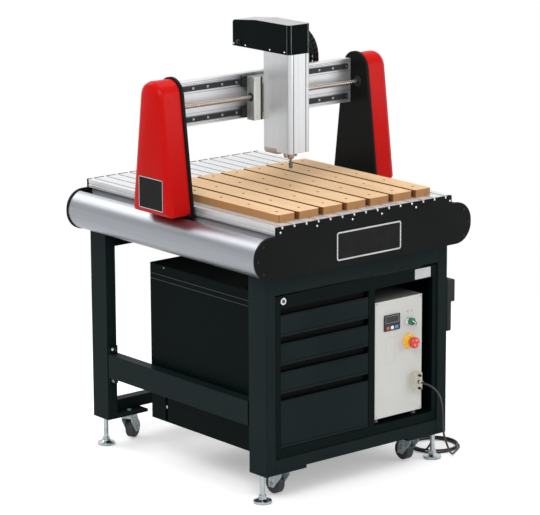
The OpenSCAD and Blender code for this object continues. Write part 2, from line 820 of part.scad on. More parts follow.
motor_w = 57;
motor_l = 70;
block_w = 36;
block_l = 20;
screw_end = 2;
module y_drive() {
    back = table_l / 2;
    color("#3b3d40") pair() {
        span([drive_x - motor_w / 2, drive_x + motor_w / 2], [back - motor_l, back],
            [drive_z - motor_w / 2, drive_z + motor_w / 2]);
        for (y = [-back, back - motor_l - block_l]) difference() {
            span([drive_x - block_w / 2, drive_x + block_w / 2], [y, y + block_l],
                [drive_z - block_w / 2, drive_z + block_w / 2]);
            translate([drive_x, y - over, drive_z]) rotate([-90, 0, 0])
                cylinder(d = screw_d + 2 * shaft_gap, h = block_l + 2 * over);
        }
    }
}

module y_screw(side) {
    y0 = -table_l / 2 + screw_end;
    color("#a8a39b") translate([side * drive_x, y0, drive_z]) rotate([-90, 0, 0])
        cylinder(d = screw_d, h = table_l / 2 - motor_l - screw_end - y0);
}

// Gantry

function plate_half(z, r) = r / cos(plate_lean) + (plate_zc - z) * tan(plate_lean);
module gantry_plates() {
    z1 = base_top + cover_gap;
    w = plate_half(z1, plate_r);
    f = plate_foot_half;
    color("#1d2021") pair() difference() {
        along_x(plate_x, plate_out) polygon(concat(
            arc([0, plate_zc], plate_r, plate_lean, 180 - plate_lean, 20),
            [[-w, z1], [-f, base_top - plate_step], [-f, plate_foot_z], [f, plate_foot_z], [f, base_top - plate_step], [w, z1]]));
        translate([plate_x - over, screw_y, screw_z]) rotate([0, 90, 0])
            cylinder(d = screw_d + 2 * shaft_gap, h = plate_t + 2 * over);
    }
}

cover_corner = 14;
// Outline of a red cover, drawn in by a distance from its full size
module cover_outline(inset) {
    r = plate_r - cover_inset - inset;
    z = cover_z + inset;
    c = max(cover_corner - inset / 2, cover_gap);
    w = plate_half(z + c, r) - c;
    polygon(concat(arc([0, plate_zc], r, plate_lean, 180 - plate_lean, 14),
        arc([-w, z + c], c, 180, 270, 4), arc([w, z + c], c, 270, 360, 4)));
}

cover_wall = 3;
cover_edge = 16;
module cover_form(depth, inset) {
    hull() {
        along_x(0, depth - cover_edge) cover_outline(inset);
        along_x(0, depth - cover_edge * (1 - sin(45))) cover_outline(inset + cover_edge * (1 - cos(45)));
        along_x(0, depth) cover_outline(inset + cover_edge);
    }
}

module gantry_covers() {
    color("#c01c20") pair() translate([plate_out, 0, 0]) difference() {
        cover_form(cover_t, 0);
        translate([-over, 0, 0]) cover_form(cover_t - cover_wall + over, cover_wall);
    }
}

tray_t = 3;
tray_over = 20;
beam_slant = 9;
tray_z = chain_zc - chain_r - chain_h / 2 - slide_gap;
module gantry_beam() {
    color("#c9ccce") {
        along_x(-plate_x, plate_x) translate([beam_y, beam_z]) difference() {
            polygon([[0, 0], [beam_d, 0], [beam_d, beam_h - beam_slant], [beam_d - beam_slant, beam_h], [0, beam_h]]);
            for (k = [0:2]) translate([beam_skin, beam_skin + k * (beam_h - beam_skin) / 3])
                square([beam_d - 2 * beam_skin, (beam_h - beam_skin) / 3 - 2 * beam_skin]);
        }
        span([chain_fix_x - tray_over, plate_x - tray_over], [beam_y + beam_d, chain_y + chain_w + tray_t], [tray_z - tray_t, tray_z]);
    }
}

x_rail_levels = [beam_z + x_rail_edge, beam_z + beam_h - x_rail_edge];
module x_rails() {
    color("#43474a") for (z = x_rail_levels)
        span([x_rail_end - plate_x, plate_x - x_rail_end], [beam_y - x_rail_h, beam_y], [z - x_rail_w / 2, z + x_rail_w / 2]);
}

truck_l = 62;
truck_place = 58;
truck_lift = 6;
truck_half_h = 24;
nut_out = 14;
nut_half = [25, 16];
module y_trucks() {
    color("#6a6f73") pair() {
        for (y = [-truck_place, truck_place]) difference() {
            span([face_x + truck_lift, plate_x], [y - truck_l / 2, y + truck_l / 2], [drive_z - truck_half_h, drive_z + truck_half_h]);
            span([face_x, face_x + rail_h + slide_gap], [y - truck_l, y + truck_l],
                [drive_z - rail_w / 2 - slide_gap, drive_z + rail_w / 2 + slide_gap]);
        }
        // Nut bracket on the plate's outer face
        difference() {
            span([plate_out, drive_x + nut_out], [-nut_half[0], nut_half[0]], [drive_z - nut_half[1], drive_z + nut_half[1]]);
            translate([drive_x, -nut_half[0] - over, drive_z]) rotate([-90, 0, 0])
                cylinder(d = screw_d + 2 * shaft_gap, h = 2 * (nut_half[0] + over));
        }
    }
}

x_motor_l = 66;
module x_motor() {
    color("#2c2e31") span([plate_out, plate_out + x_motor_l], [screw_y - motor_w / 2, screw_y + motor_w / 2],
        [screw_z - motor_w / 2, screw_z + motor_w / 2]);
}

module x_screw() {
    color("#a8978a") translate([screw_end - plate_out, screw_y, screw_z]) rotate([0, 90, 0])
        cylinder(d = screw_d, h = 2 * (plate_out - screw_end));
}

// Carriage

truck_half = 30;
truck_in = 12;
x_truck_half_h = 18;
x_truck_gap = 4;
module x_trucks() {
    color("#2c3033") for (z = x_rail_levels, s = [-1, 1]) difference() {
        x = s * (saddle_w / 2 - truck_in);
        span([x - truck_half, x + truck_half], [saddle_back, beam_y - x_truck_gap], [z - x_truck_half_h, z + x_truck_half_h]);
        span([x - truck_half - over, x + truck_half + over], [beam_y - x_rail_h - slide_gap, beam_y],
            [z - x_rail_w / 2 - slide_gap, z + x_rail_w / 2 + slide_gap]);
    }
}

z_rail_x = 32;
z_rail_w = 12;
z_rail_h = 5;
z_rail_gap = 2;
z_nut_w = 24;
z_block_half = 12;
z_block_edge = 25;
nut_half_h = 15;
screw_recess = 30;
saddle_drop = 1.5;
saddle_short = 5.5;
saddle_low = beam_z - saddle_drop;
saddle_top = saddle_low + beam_h - saddle_short;
// Bracket of the cable chain: over the saddle's right end, then back above the gantry plates' tops
bracket_t = 8;
bracket_w = 35;
bracket_in = 4;
bracket_x = col_w / 2 + 7;
bracket_z = plate_zc + plate_r + 6;
upright_t = 20;
module x_saddle() {
    nut = [screw_z - nut_half_h, screw_z + nut_half_h];
    bracket_y = [saddle_front + bracket_in, saddle_back - bracket_in];
    flat_z = [bracket_z, bracket_z + bracket_t];
    color("#b3b8b6") difference() {
        union() {
            span([-saddle_w / 2, saddle_w / 2], [saddle_front, saddle_back], [saddle_low, saddle_top]);
            // Blocks that ride on the column's rails
            for (s = [-1, 1]) span([s * z_rail_x - z_block_half, s * z_rail_x + z_block_half],
                [col_back + z_rail_gap, saddle_front + over], [saddle_low + z_block_edge, saddle_top - z_block_edge]);
            // Bracket of the vertical screw's nut
            span([-z_nut_w / 2, z_nut_w / 2], [z_screw_y - z_nut_w / 2, saddle_front + over], nut);
            // Bracket that carries the cable chain's moving end
            span([bracket_x, saddle_w / 2], bracket_y, [saddle_top - over, flat_z[1]]);
            span([bracket_x, chain_end_x], bracket_y, flat_z);
            span([chain_end_x - bracket_w, chain_end_x], [bracket_y[0], chain_y + chain_w], flat_z);
            span([chain_end_x - upright_t, chain_end_x], [chain_y, chain_y + chain_w],
                [bracket_z, chain_zc + chain_r + chain_h / 2]);
        }
        for (s = [-1, 1]) span([s * z_rail_x - z_rail_w / 2 - slide_gap, s * z_rail_x + z_rail_w / 2 + slide_gap],
            [col_back, col_back + z_rail_h + slide_gap], [beam_z, beam_z + beam_h]);
        translate([-saddle_w, screw_y, screw_z]) rotate([0, 90, 0])
            cylinder(d = screw_d + 2 * shaft_gap, h = 2 * saddle_w);
        for (s = [-1, 1]) translate([s * saddle_w / 2 - screw_recess, screw_y, screw_z]) rotate([0, 90, 0])
            cylinder(d = screw_recess, h = 2 * screw_recess);
        translate([0, z_screw_y, nut[0] - over]) cylinder(d = z_screw_d + 2 * shaft_gap, h = 2 * (nut_half_h + over));
    }
}

module cable_chain() {
    h = chain_h / 2;
    color("#17181a") along_y(chain_y, chain_y + chain_w) polygon(concat(
        arc([chain_bend_x, chain_zc], chain_r + h, 90, -90, 24),
        [[chain_fix_x, chain_zc - chain_r - h], [chain_fix_x, chain_zc - chain_r + h]],
        arc([chain_bend_x, chain_zc], chain_r - h, -90, 90, 24),
        [[chain_end_x, chain_zc + chain_r - h], [chain_end_x, chain_zc + chain_r + h]]));
}

// Head

col_corner = 10;
// Plan of a box with rounded front corners
function plan(x, y0, y1, r) = concat(arc([r - x, y0 + r], r, 180, 270, 6), arc([x - r, y0 + r], r, 270, 360, 6),
    [[x, y1], [-x, y1]]);
front_groove_x = 26;
front_groove = 3;
slot_over = 4;
z_rail_end = 8;
plate_in = [3, 8, 6];
module head_column() {
    x = col_w / 2;
    color("#c6c9cc") union() {
        difference() {
            translate([0, 0, col_z]) linear_extrude(col_h) difference() {
                polygon(plan(x, col_front, col_back, col_corner));
                for (s = [-1, 1]) translate([s * front_groove_x - front_groove / 2, col_front - over])
                    square([front_groove, front_groove + over]);
            }
            span([col_wall - x, x - col_wall], [col_front + col_wall + 1, col_back - col_wall],
                [col_z + cap_t, col_top + over]);
            // Slot for the nut bracket, and bores for the spindle's nose and the vertical screw
            span([-z_nut_w / 2 - slot_over, z_nut_w / 2 + slot_over], [col_back - 2 * col_wall, col_back + over],
                [screw_z - nut_half_h - head_up - slot_over, screw_z + nut_half_h + head_down + slot_over]);
            translate([0, spindle_y, col_z - over]) cylinder(d = nose_d + 2 * slide_gap, h = cap_t + 2 * over);
            translate([0, z_screw_y, col_z - over]) cylinder(d = z_screw_d + 2 * shaft_gap, h = cap_t + 2 * over);
        }
        for (s = [-1, 1]) span([s * z_rail_x - z_rail_w / 2, s * z_rail_x + z_rail_w / 2],
            [col_back - over, col_back + z_rail_h], [col_z + z_rail_end, col_top - z_rail_end]);
        // Plate under the head cover
        difference() {
            span([plate_in[0] - x, x - plate_in[0]], [col_front + plate_in[1], col_back + head_cover_back - plate_in[2]],
                [col_top, col_top + cap_t]);
            translate([0, z_screw_y, col_top - over]) cylinder(d = z_screw_d + 2 * shaft_gap, h = cap_t + 2 * over);
        }
    }
}
// How far the head moves up and down from its place in the picture
head_up = 95;
head_down = 54;

hood_slope = 14;
hood_level = 170;
hood_wall = 2.5;
module head_cover_form(inset, floor) {
    y0 = col_front + inset;
    y1 = col_back + head_cover_back - inset;
    top = col_top + head_cover_h - inset;
    x = col_w / 2 + 1 - inset;
    intersection() {
        along_x(-x, x) polygon([[y0, floor], [y0, top], [col_front + hood_level, top],
            [y1 - 6, top - hood_slope + 3], [y1, top - hood_slope - 4], [y1, floor]]);
        translate([0, 0, floor]) linear_extrude(head_cover_h + 4) polygon(plan(x, y0, y1, col_corner - inset));
    }
}

module head_cover() {
    color("#17191a") difference() {
        head_cover_form(0, col_top);
        head_cover_form(hood_wall, col_top - 2);
    }
}

z_motor_w = 56;
module z_motor() {
    color("#2c2e31") span([-z_motor_w / 2, z_motor_w / 2], [z_screw_y - z_motor_w / 2, z_screw_y + z_motor_w / 2],
        [col_top + cap_t, col_top + cap_t + motor_l]);
}

module z_screw() {
    color("#a8a39b") translate([0, z_screw_y, col_z + 1]) cylinder(d = z_screw_d, h = col_h + cap_t - 2);
}

spindle_h = 240;
shaft_h = 60;
claw_x = 18;
module spindle_body() {
    color("#8a8e91") difference() {
        union() {
            translate([0, spindle_y, col_z + cap_t]) cylinder(d = spindle_d, h = spindle_h);
            translate([0, spindle_y, col_z - 2]) cylinder(d = nose_d, h = cap_t + 3);
        }
        translate([0, spindle_y, col_z - 2 - over]) cylinder(d = shaft_d + 2 * shaft_gap, h = shaft_h + over);
    }
    // Claws that flank the nose
    color("#34373a") for (s = [-1, 1]) translate([0, spindle_y + 6, col_z]) rotate([90, 0, 0]) linear_extrude(12)
        polygon([[s * claw_x, -16], [s * (claw_x + 4), -20], [s * (claw_x + 12), 0], [s * (claw_x + 4), 0]]);
}

module collet_nut() {
    color("#b07a55") translate([0, spindle_y, nut_z]) {
        rotate_extrude() polygon([[0, 0], [nut_d / 2 - 5, 0], [nut_d / 2, 6], [nut_d / 2, nut_h], [0, nut_h]]);
        cylinder(d = shaft_d, h = nut_h + shaft_h - 4);
    }
}

module cutter_bit() {
    color("#9a9d9f") translate([0, spindle_y, nut_z - cutter_l]) {
        translate([0, 0, cutter_l / 2]) cylinder(d = cutter_d, h = cutter_l / 2);
        rotate_extrude() polygon([[0, 0], [4, 0], [7, 3], [7, cutter_l / 2], [0, cutter_l / 2 + 3]]);
    }
}

legs();
cross_rails();
side_beams();
caster_plates();
toolbox_shell();
drawer_runners();
control_case();
control_panel();
panel_fittings();
cable_plug();
cord_drop();
cord_coil();
cord_rise();
pendant_case();
pendant_holder();
table_top();
spoilboard();
end_plates();
side_covers();
base_beams();
y_rails();
y_drive();
gantry_plates();
gantry_covers();
gantry_beam();
x_rails();
y_trucks();
x_motor();
x_saddle();
x_trucks();
cable_chain();
head_column();
head_cover();
z_motor();
spindle_body();
collet_nut();
cutter_bit();
x_screw();
y_screw(-1);  // y_screw_left
y_screw(1);  // y_screw_right
z_screw();
for (i = [0:3]) {
    drawer(i);
    caster_fork(i);
    caster_wheel(i);
    foot(i % 2 == 0 ? -1 : 1, i < 2 ? -1 : 1);
}
lock_barrel();
switch_knob();
estop_button();
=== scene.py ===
import json
from math import cos, pi, radians, sin, sqrt

import bmesh
import bpy
from mathutils import Matrix, Vector


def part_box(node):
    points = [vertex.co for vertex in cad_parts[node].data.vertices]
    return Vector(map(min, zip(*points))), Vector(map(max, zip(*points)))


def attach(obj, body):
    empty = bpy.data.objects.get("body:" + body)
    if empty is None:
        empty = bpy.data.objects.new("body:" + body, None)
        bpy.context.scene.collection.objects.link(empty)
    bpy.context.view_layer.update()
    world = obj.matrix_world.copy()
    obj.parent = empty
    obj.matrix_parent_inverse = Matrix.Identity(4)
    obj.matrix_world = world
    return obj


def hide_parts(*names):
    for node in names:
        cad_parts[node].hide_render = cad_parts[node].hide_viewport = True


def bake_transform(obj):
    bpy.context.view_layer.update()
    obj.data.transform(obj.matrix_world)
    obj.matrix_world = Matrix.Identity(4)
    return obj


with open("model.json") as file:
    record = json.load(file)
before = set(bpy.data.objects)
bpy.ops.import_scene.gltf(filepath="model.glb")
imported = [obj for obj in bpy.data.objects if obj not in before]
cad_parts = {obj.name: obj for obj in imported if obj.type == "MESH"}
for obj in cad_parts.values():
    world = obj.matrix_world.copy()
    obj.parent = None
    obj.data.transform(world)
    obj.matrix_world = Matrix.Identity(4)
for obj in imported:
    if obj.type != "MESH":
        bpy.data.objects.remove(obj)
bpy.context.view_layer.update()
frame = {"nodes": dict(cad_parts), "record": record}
nodes = frame["nodes"]
bodyOfNode = {n: b for b, members in frame["record"]["behaviour"]["bodies"].items() for n in members}
scene = bpy.context.scene
mm = 1000
print("frame loaded:", len(nodes), "nodes")


def addObject(name, data):
    obj = bpy.data.objects.new(name, data)
    scene.collection.objects.link(obj)
    return obj


# Camera at the photograph's viewpoint
cameraSetup = dict(
    place=(-5.854, -7.0725, 2.856), azimuth=39.68, drop=13.35, roll=-0.25,
    lens=187.33, sensor=36, reach=60,
)


def makeCamera(spec):
    cam = addObject("viewCamera", bpy.data.cameras.new("viewCamera"))
    a, d = radians(spec["azimuth"]), radians(spec["drop"])
    ahead = Vector((sin(a) * cos(d), cos(a) * cos(d), -sin(d)))
    turn = ahead.to_track_quat("-Z", "Y").to_matrix().to_4x4()
    roll = Matrix.Rotation(radians(spec["roll"]), 4, "Z")
    cam.matrix_world = Matrix.Translation(spec["place"]) @ turn @ roll
    cam.data.lens = spec["lens"]
    cam.data.sensor_width = spec["sensor"]
    cam.data.clip_end = spec["reach"]
    scene.camera = cam


makeCamera(cameraSetup)


# Helpers for shader nodes; an input is given a number, a color, a vector or another node's socket
def setInputs(tree, node, inputs):
    for label, value in inputs.items():
        socket = node.inputs[label]
        if hasattr(value, "is_linked"):
            tree.links.new(value, socket)
        else:
            socket.default_value = (*value, 1) if socket.type == "RGBA" else value


def addNode(tree, kind, inputs, **settings):
    node = tree.nodes.new("ShaderNode" + kind)
    for label, value in settings.items():
        setattr(node, label, value)
    setInputs(tree, node, inputs)
    return node.outputs


def mixValues(tree, factor, first, second, kind="RGBA"):
    return addNode(tree, "Mix", {"Factor": factor, "A": first, "B": second}, data_type=kind)["Result"]


def spread(tree, value, low, high, fromLow=0.3, fromHigh=0.7):
    return addNode(tree, "MapRange", {"Value": value, "From Min": fromLow, "From Max": fromHigh,
                                      "To Min": low, "To Max": high})["Result"]


def mathNode(tree, operation, first, second=0, clamp=False):
    return addNode(tree, "Math", {0: first, 1: second}, operation=operation, use_clamp=clamp)[0]


def axisOf(tree, vector, axis):
    return addNode(tree, "SeparateXYZ", {0: vector})[axis]


def facing(tree, axis):
    return axisOf(tree, addNode(tree, "NewGeometry", {})["True Normal"], axis)


def placeIn(tree, label="Object"):
    return addNode(tree, "TexCoord", {})[label]


def newMaterial(name):
    mat = bpy.data.materials.new(name)
    mat.use_nodes = True
    return mat, mat.node_tree, mat.node_tree.nodes["Principled BSDF"]


# Shader node groups that the finishes share
def groupTree(name, inputs, outputs):
    tree = bpy.data.node_groups.new(name, "ShaderNodeTree")
    for label, value in inputs.items():
        kind = "NodeSocketVector" if isinstance(value, tuple) else "NodeSocketFloat"
        tree.interface.new_socket(label, in_out="INPUT", socket_type=kind).default_value = value
    for label in outputs:
        tree.interface.new_socket(label, in_out="OUTPUT", socket_type="NodeSocketFloat")
    return tree, tree.nodes.new("NodeGroupInput").outputs, tree.nodes.new("NodeGroupOutput")


grainSetup = {"Vector": (0, 0, 0), "Stretch": (1, 1, 1), "Broad": 6.0, "Fine": 400.0}
grainDetail = {"Clouds": ("Broad", 4), "Grain": ("Fine", 2)}


def makeGrainGroup():
    # Broad clouds and fine grain, both drawn out along the stretch
    tree, given, result = groupTree("surfaceGrain", grainSetup, grainDetail)
    drawn = addNode(tree, "VectorMath", {0: given["Vector"], 1: given["Stretch"]}, operation="MULTIPLY")[0]
    for label, (size, detail) in grainDetail.items():
        noise = addNode(tree, "TexNoise", {"Vector": drawn, "Scale": given[size], "Detail": detail})
        setInputs(tree, result, {label: noise["Fac"]})
    return tree


marksSetup = dict(size=14.0, reach=0.62, full=0.8, waves=30, bend=14, detail=3, thin=(0.86, 1.0))


def makeMarksGroup(spec):
    # Sparse handling marks: short thin scratches between clean patches
    defaults = {"Vector": (0, 0, 0), "Size": spec["size"], "Reach": spec["reach"]}
    tree, given, result = groupTree("handlingMarks", defaults, ["Marks"])
    patches = addNode(tree, "TexNoise", {"Vector": given["Vector"], "Scale": given["Size"]})["Fac"]
    lines = addNode(tree, "TexWave", {"Vector": given["Vector"], "Scale": spec["waves"],
                                      "Distortion": spec["bend"], "Detail": spec["detail"]})["Fac"]
    marks = mathNode(tree, "MULTIPLY", spread(tree, patches, 0, 1, given["Reach"], spec["full"]),
                     spread(tree, lines, 0, 1, *spec["thin"]))
    setInputs(tree, result, {"Marks": marks})
    return tree


grainGroup = makeGrainGroup()
marksGroup = makeMarksGroup(marksSetup)

finishDefaults = dict(
    metal=0.0, stretch=(1, 1, 1), broad=5.0, fine=500.0, bump=0.05, coat=0.0, coatRough=0.1,
    marks=0.0, markColor=(0.5, 0.5, 0.5), specular=0.5, dust=None, slot=None, paintedFrontLight=None,
)
bumpDepth = 0.0006
# Painted light on some faces, a painted sheen on the top faces and painted light on the front faces: the axis, and
# the painted colour's share from one facing to another
paintedLightSpans = {"dust": ("Z", 0, 1, 0.6, 1), "paintedFrontLight": ("Y", 1, 0, -0.95, -0.6)}
slotShadeFade = dict(near=(0, 0.004), wall=(0.0005, 0.0015))


def makeFinish(name, color, tint, rough, extra):
    spec = {**finishDefaults, **extra}
    mat, tree, shader = newMaterial(name)
    place = placeIn(tree)
    grain = addNode(tree, "Group", {"Vector": place, "Stretch": spec["stretch"], "Broad": spec["broad"],
                                    "Fine": spec["fine"]}, node_tree=grainGroup)
    color = mixValues(tree, spread(tree, grain["Clouds"], 0, 1), color, tint)
    if spec["marks"] > 0:
        marks = addNode(tree, "Group", {"Vector": place}, node_tree=marksGroup)["Marks"]
        color = mixValues(tree, spread(tree, marks, 0, spec["marks"], 0, 1), color, spec["markColor"])
    # Painted light by facing: a painted sheen on the top faces (the dust entry) and painted light on the front
    # faces
    for label, (axis, *span) in paintedLightSpans.items():
        if spec[label]:
            color = mixValues(tree, spread(tree, facing(tree, axis), *span), color, spec[label])
    if spec["slot"]:
        # Painted shade inside the drawers' narrow finger recess: a window in depth along Y
        depth = axisOf(tree, place, "Y")
        near, wall = ([spec["slot"][end] + step for step in slotShadeFade[end]] for end in ("near", "wall"))
        inside = mathNode(tree, "MULTIPLY", spread(tree, depth, 0, 1, *near), spread(tree, depth, 1, 0, *wall))
        color = mixValues(tree, inside, color, spec["slot"]["color"])
    bump = addNode(tree, "Bump", {"Strength": spec["bump"], "Distance": bumpDepth, "Height": grain["Grain"]})
    setInputs(tree, shader, {
        "Base Color": color, "Roughness": spread(tree, grain["Clouds"], *rough), "Normal": bump["Normal"],
        "Metallic": spec["metal"], "Coat Weight": spec["coat"], "Coat Roughness": spec["coatRough"],
        "Specular IOR Level": spec["specular"]})
    return mat


# Each finish: color, second color, range of roughness, and what differs from the defaults
finishSetup = dict(
    framePaint=((0.006, 0.0115, 0.012), (0.0085, 0.015, 0.0155), (0.4, 0.52),
        dict(bump=0.16, fine=900, marks=0.1, markColor=(0.06, 0.07, 0.07), specular=0.05)),
    # cabinetPaint: front faces painted lighter than the sides, painted light on the front and painted shade on the
    # sides
    cabinetPaint=((0.0006, 0.003, 0.0028), (0.0014, 0.005, 0.0046), (0.34, 0.46),
        dict(bump=0.12, fine=900, marks=0.06, markColor=(0.03, 0.04, 0.04), specular=0.03,
             paintedFrontLight=(0.004, 0.0075, 0.0075))),
    drawerPaint=((0.0058, 0.011, 0.0126), (0.0084, 0.0146, 0.0166), (0.36, 0.46),
        dict(bump=0.14, fine=900, marks=0.06, markColor=(0.05, 0.06, 0.06), specular=0.05,
             # drawerPaint: painted shade in the finger recess at the top of each drawer front, a window in depth
             # along Y
             slot=dict(near=-0.456, wall=-0.446, color=(0.0004, 0.0004, 0.0004)))),
    casePaint=((0.13, 0.133, 0.135), (0.16, 0.163, 0.165), (0.38, 0.5), dict(bump=0.12, fine=900)),
    panelGrey=((0.52, 0.52, 0.495), (0.56, 0.56, 0.535), (0.4, 0.5), dict(broad=3, fine=1200)),
    plateBlack=((0.0045, 0.005, 0.005), (0.007, 0.0075, 0.0075), (0.36, 0.48),
        dict(bump=0.08, fine=1200, marks=0.05, markColor=(0.05, 0.05, 0.05), specular=0.06)),
    coverRed=((0.455, 0.005, 0.004), (0.51, 0.007, 0.006), (0.22, 0.3), dict(broad=2.5, fine=260, specular=0.055)),
    brushedCover=((0.33, 0.35, 0.38), (0.37, 0.39, 0.42), (0.36, 0.4),
        dict(metal=1, stretch=(14, 0.35, 14), broad=7, fine=60)),
    tableAlu=((0.62, 0.63, 0.645), (0.71, 0.72, 0.73), (0.3, 0.4),
        dict(metal=0.5, stretch=(30, 0.5, 30), fine=40, bump=0.06, marks=0.15, markColor=(0.45, 0.46, 0.47))),
    satinAlu=((0.5, 0.51, 0.55), (0.6, 0.61, 0.65), (0.38, 0.48),
        dict(metal=0.1, stretch=(30, 0.5, 30), fine=40, bump=0.06)),
    beamAlu=((0.58, 0.59, 0.61), (0.68, 0.69, 0.71), (0.3, 0.4),
        dict(metal=0.65, stretch=(0.5, 30, 30), fine=40, bump=0.06)),
    columnAlu=((0.56, 0.575, 0.59), (0.62, 0.635, 0.65), (0.28, 0.38),
        dict(metal=0.65, stretch=(40, 40, 0.4), broad=4, fine=40, bump=0.06)),
    # saddleAlu: front faces painted far lighter than the sides, a painted highlight
    saddleAlu=((0.19, 0.205, 0.2), (0.23, 0.245, 0.24), (0.36, 0.46),
        dict(metal=0.25, stretch=(20, 20, 0.5), fine=60, bump=0.06, paintedFrontLight=(0.66, 0.68, 0.64))),
    railSteel=((0.022, 0.025, 0.027), (0.034, 0.037, 0.04), (0.28, 0.38),
        dict(metal=0.5, specular=0.2, stretch=(0.4, 20, 20), fine=80)),
    screwSteel=((0.34, 0.29, 0.26), (0.4, 0.35, 0.32), (0.24, 0.32), dict(metal=1, broad=6, fine=400, bump=0.03)),
    truckDark=((0.014, 0.015, 0.016), (0.022, 0.024, 0.025), (0.35, 0.5), dict(specular=0.25)),
    motorBlack=((0.01, 0.01, 0.011), (0.016, 0.016, 0.017), (0.35, 0.5), dict(specular=0.25)),
    # hoodBlack: the dust entry is a painted sheen that lightens its top faces
    hoodBlack=((0.002, 0.004, 0.0045), (0.003, 0.005, 0.0055), (0.18, 0.24),
        dict(bump=0.02, fine=300, specular=0.03, dust=(0.31, 0.315, 0.315))),
    chainBlack=((0.007, 0.007, 0.008), (0.011, 0.011, 0.012), (0.42, 0.55), dict(specular=0.2)),
    spindleAlu=((0.3, 0.31, 0.32), (0.42, 0.43, 0.44), (0.26, 0.4),
        dict(metal=1, stretch=(4, 4, 60), broad=6, fine=80)),
    nutCopper=((0.36, 0.22, 0.17), (0.46, 0.31, 0.26), (0.24, 0.36), dict(metal=1, broad=60)),
    cutterSteel=((0.1, 0.095, 0.09), (0.2, 0.19, 0.18), (0.22, 0.34), dict(metal=1, broad=80)),
    zincBright=((0.4, 0.455, 0.47), (0.56, 0.61, 0.63), (0.16, 0.26), dict(metal=1, broad=45, fine=400)),
    forkZinc=((0.36, 0.44, 0.46), (0.5, 0.57, 0.59), (0.22, 0.32), dict(metal=0.3, broad=45, fine=400)),
    wheelGrey=((0.04, 0.043, 0.045), (0.06, 0.063, 0.065), (0.45, 0.6), dict(specular=0.2, broad=30, bump=0.08)),
    cableBlack=((0.011, 0.011, 0.012), (0.018, 0.018, 0.019), (0.34, 0.46), dict(broad=30, fine=900, bump=0.06)),
    plugBeige=((0.5, 0.47, 0.38), (0.56, 0.53, 0.44), (0.4, 0.5), dict(broad=30, fine=900, bump=0.06)),
    pendantGrey=((0.016, 0.017, 0.018), (0.024, 0.025, 0.026), (0.45, 0.58),
        dict(fine=900, bump=0.14, specular=0.14)),
    buttonRed=((0.62, 0.028, 0.016), (0.68, 0.045, 0.025), (0.2, 0.28), dict(broad=30, coat=0.4)),
    collarYellow=((0.82, 0.42, 0.03), (0.88, 0.48, 0.045), (0.26, 0.34), dict(broad=30, coat=0.2)),
    knobGreen=((0.012, 0.16, 0.085), (0.018, 0.2, 0.11), (0.22, 0.3), dict(broad=40)),
    chromeTrim=((0.72, 0.73, 0.74), (0.8, 0.81, 0.82), (0.1, 0.2), dict(metal=1, broad=40)),
    displayBlack=((0.006, 0.006, 0.007), (0.009, 0.009, 0.01), (0.16, 0.24), dict(broad=40)),
    markRed=((0.42, 0.07, 0.06), (0.48, 0.1, 0.08), (0.4, 0.5), dict(broad=60)),
    keyBlue=((0.05, 0.24, 0.52), (0.07, 0.28, 0.58), (0.3, 0.4), dict(broad=60)),
    displayGlass=((0.012, 0.014, 0.014), (0.018, 0.02, 0.02), (0.08, 0.14), dict(broad=40)),
    # trimGrey: grey trims and screws, and the painted highlight lines on the hood's corners
    trimGrey=((0.3, 0.31, 0.32), (0.38, 0.39, 0.4), (0.28, 0.4), dict(metal=0.9, broad=50)),
    panelShade=((0.36, 0.36, 0.345), (0.39, 0.39, 0.375), (0.42, 0.5), dict(broad=10)),
    arrowPale=((0.74, 0.42, 0.22), (0.8, 0.48, 0.27), (0.3, 0.4), dict(broad=60)),
    badgeBlack=((0.01, 0.01, 0.011), (0.014, 0.014, 0.015), (0.3, 0.4), dict(broad=20, specular=0.06)),
    badgeSilver=((0.5, 0.51, 0.52), (0.62, 0.63, 0.64), (0.22, 0.34),
        dict(metal=1, broad=30, stretch=(0.6, 12, 12))),
    labelPale=((0.42, 0.43, 0.44), (0.5, 0.51, 0.52), (0.3, 0.4), dict(broad=20)),
    # seamDark: dark seams and the lock's plug, and painted shade in the column's grooves
    seamDark=((0.02, 0.021, 0.021), (0.03, 0.031, 0.031), (0.5, 0.6), dict(broad=20)),
    seamGrey=((0.2, 0.21, 0.22), (0.26, 0.27, 0.28), (0.4, 0.5), dict(metal=0.8, broad=20)),
    bossTan=((0.36, 0.33, 0.29), (0.44, 0.41, 0.37), (0.36, 0.46), dict(metal=0.8, broad=25)),
    foldPaint=((0.022, 0.03, 0.031), (0.03, 0.038, 0.039), (0.3, 0.4), dict(broad=10)),
    keyWhite=((0.72, 0.74, 0.74), (0.78, 0.8, 0.8), (0.3, 0.4), dict(broad=60)),
    slatBoard=((0.66, 0.445, 0.255), (0.72, 0.5, 0.3), (0.62, 0.74),
        dict(bump=0.22, stretch=(3, 0.7, 3), broad=9, fine=420, specular=0.12)),
)
finishes = {name: makeFinish(name, *values) for name, values in finishSetup.items()}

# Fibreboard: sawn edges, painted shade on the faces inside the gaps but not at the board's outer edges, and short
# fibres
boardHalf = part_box("spoilboard")[1][0]
boardSetup = dict(
    sawn=(0.40, 0.205, 0.085), sawnFacing=(0.5, 0.95),
    gap=(0.15, 0.052, 0.012), gapShadeFacing=(0.25, 0.6), gapShadeInset=(0.003, 0.002),
    fleck=(0.34, 0.19, 0.09), fleckScale=700, fleckShare=0.22, fleckRange=(0.56, 0.72),
)


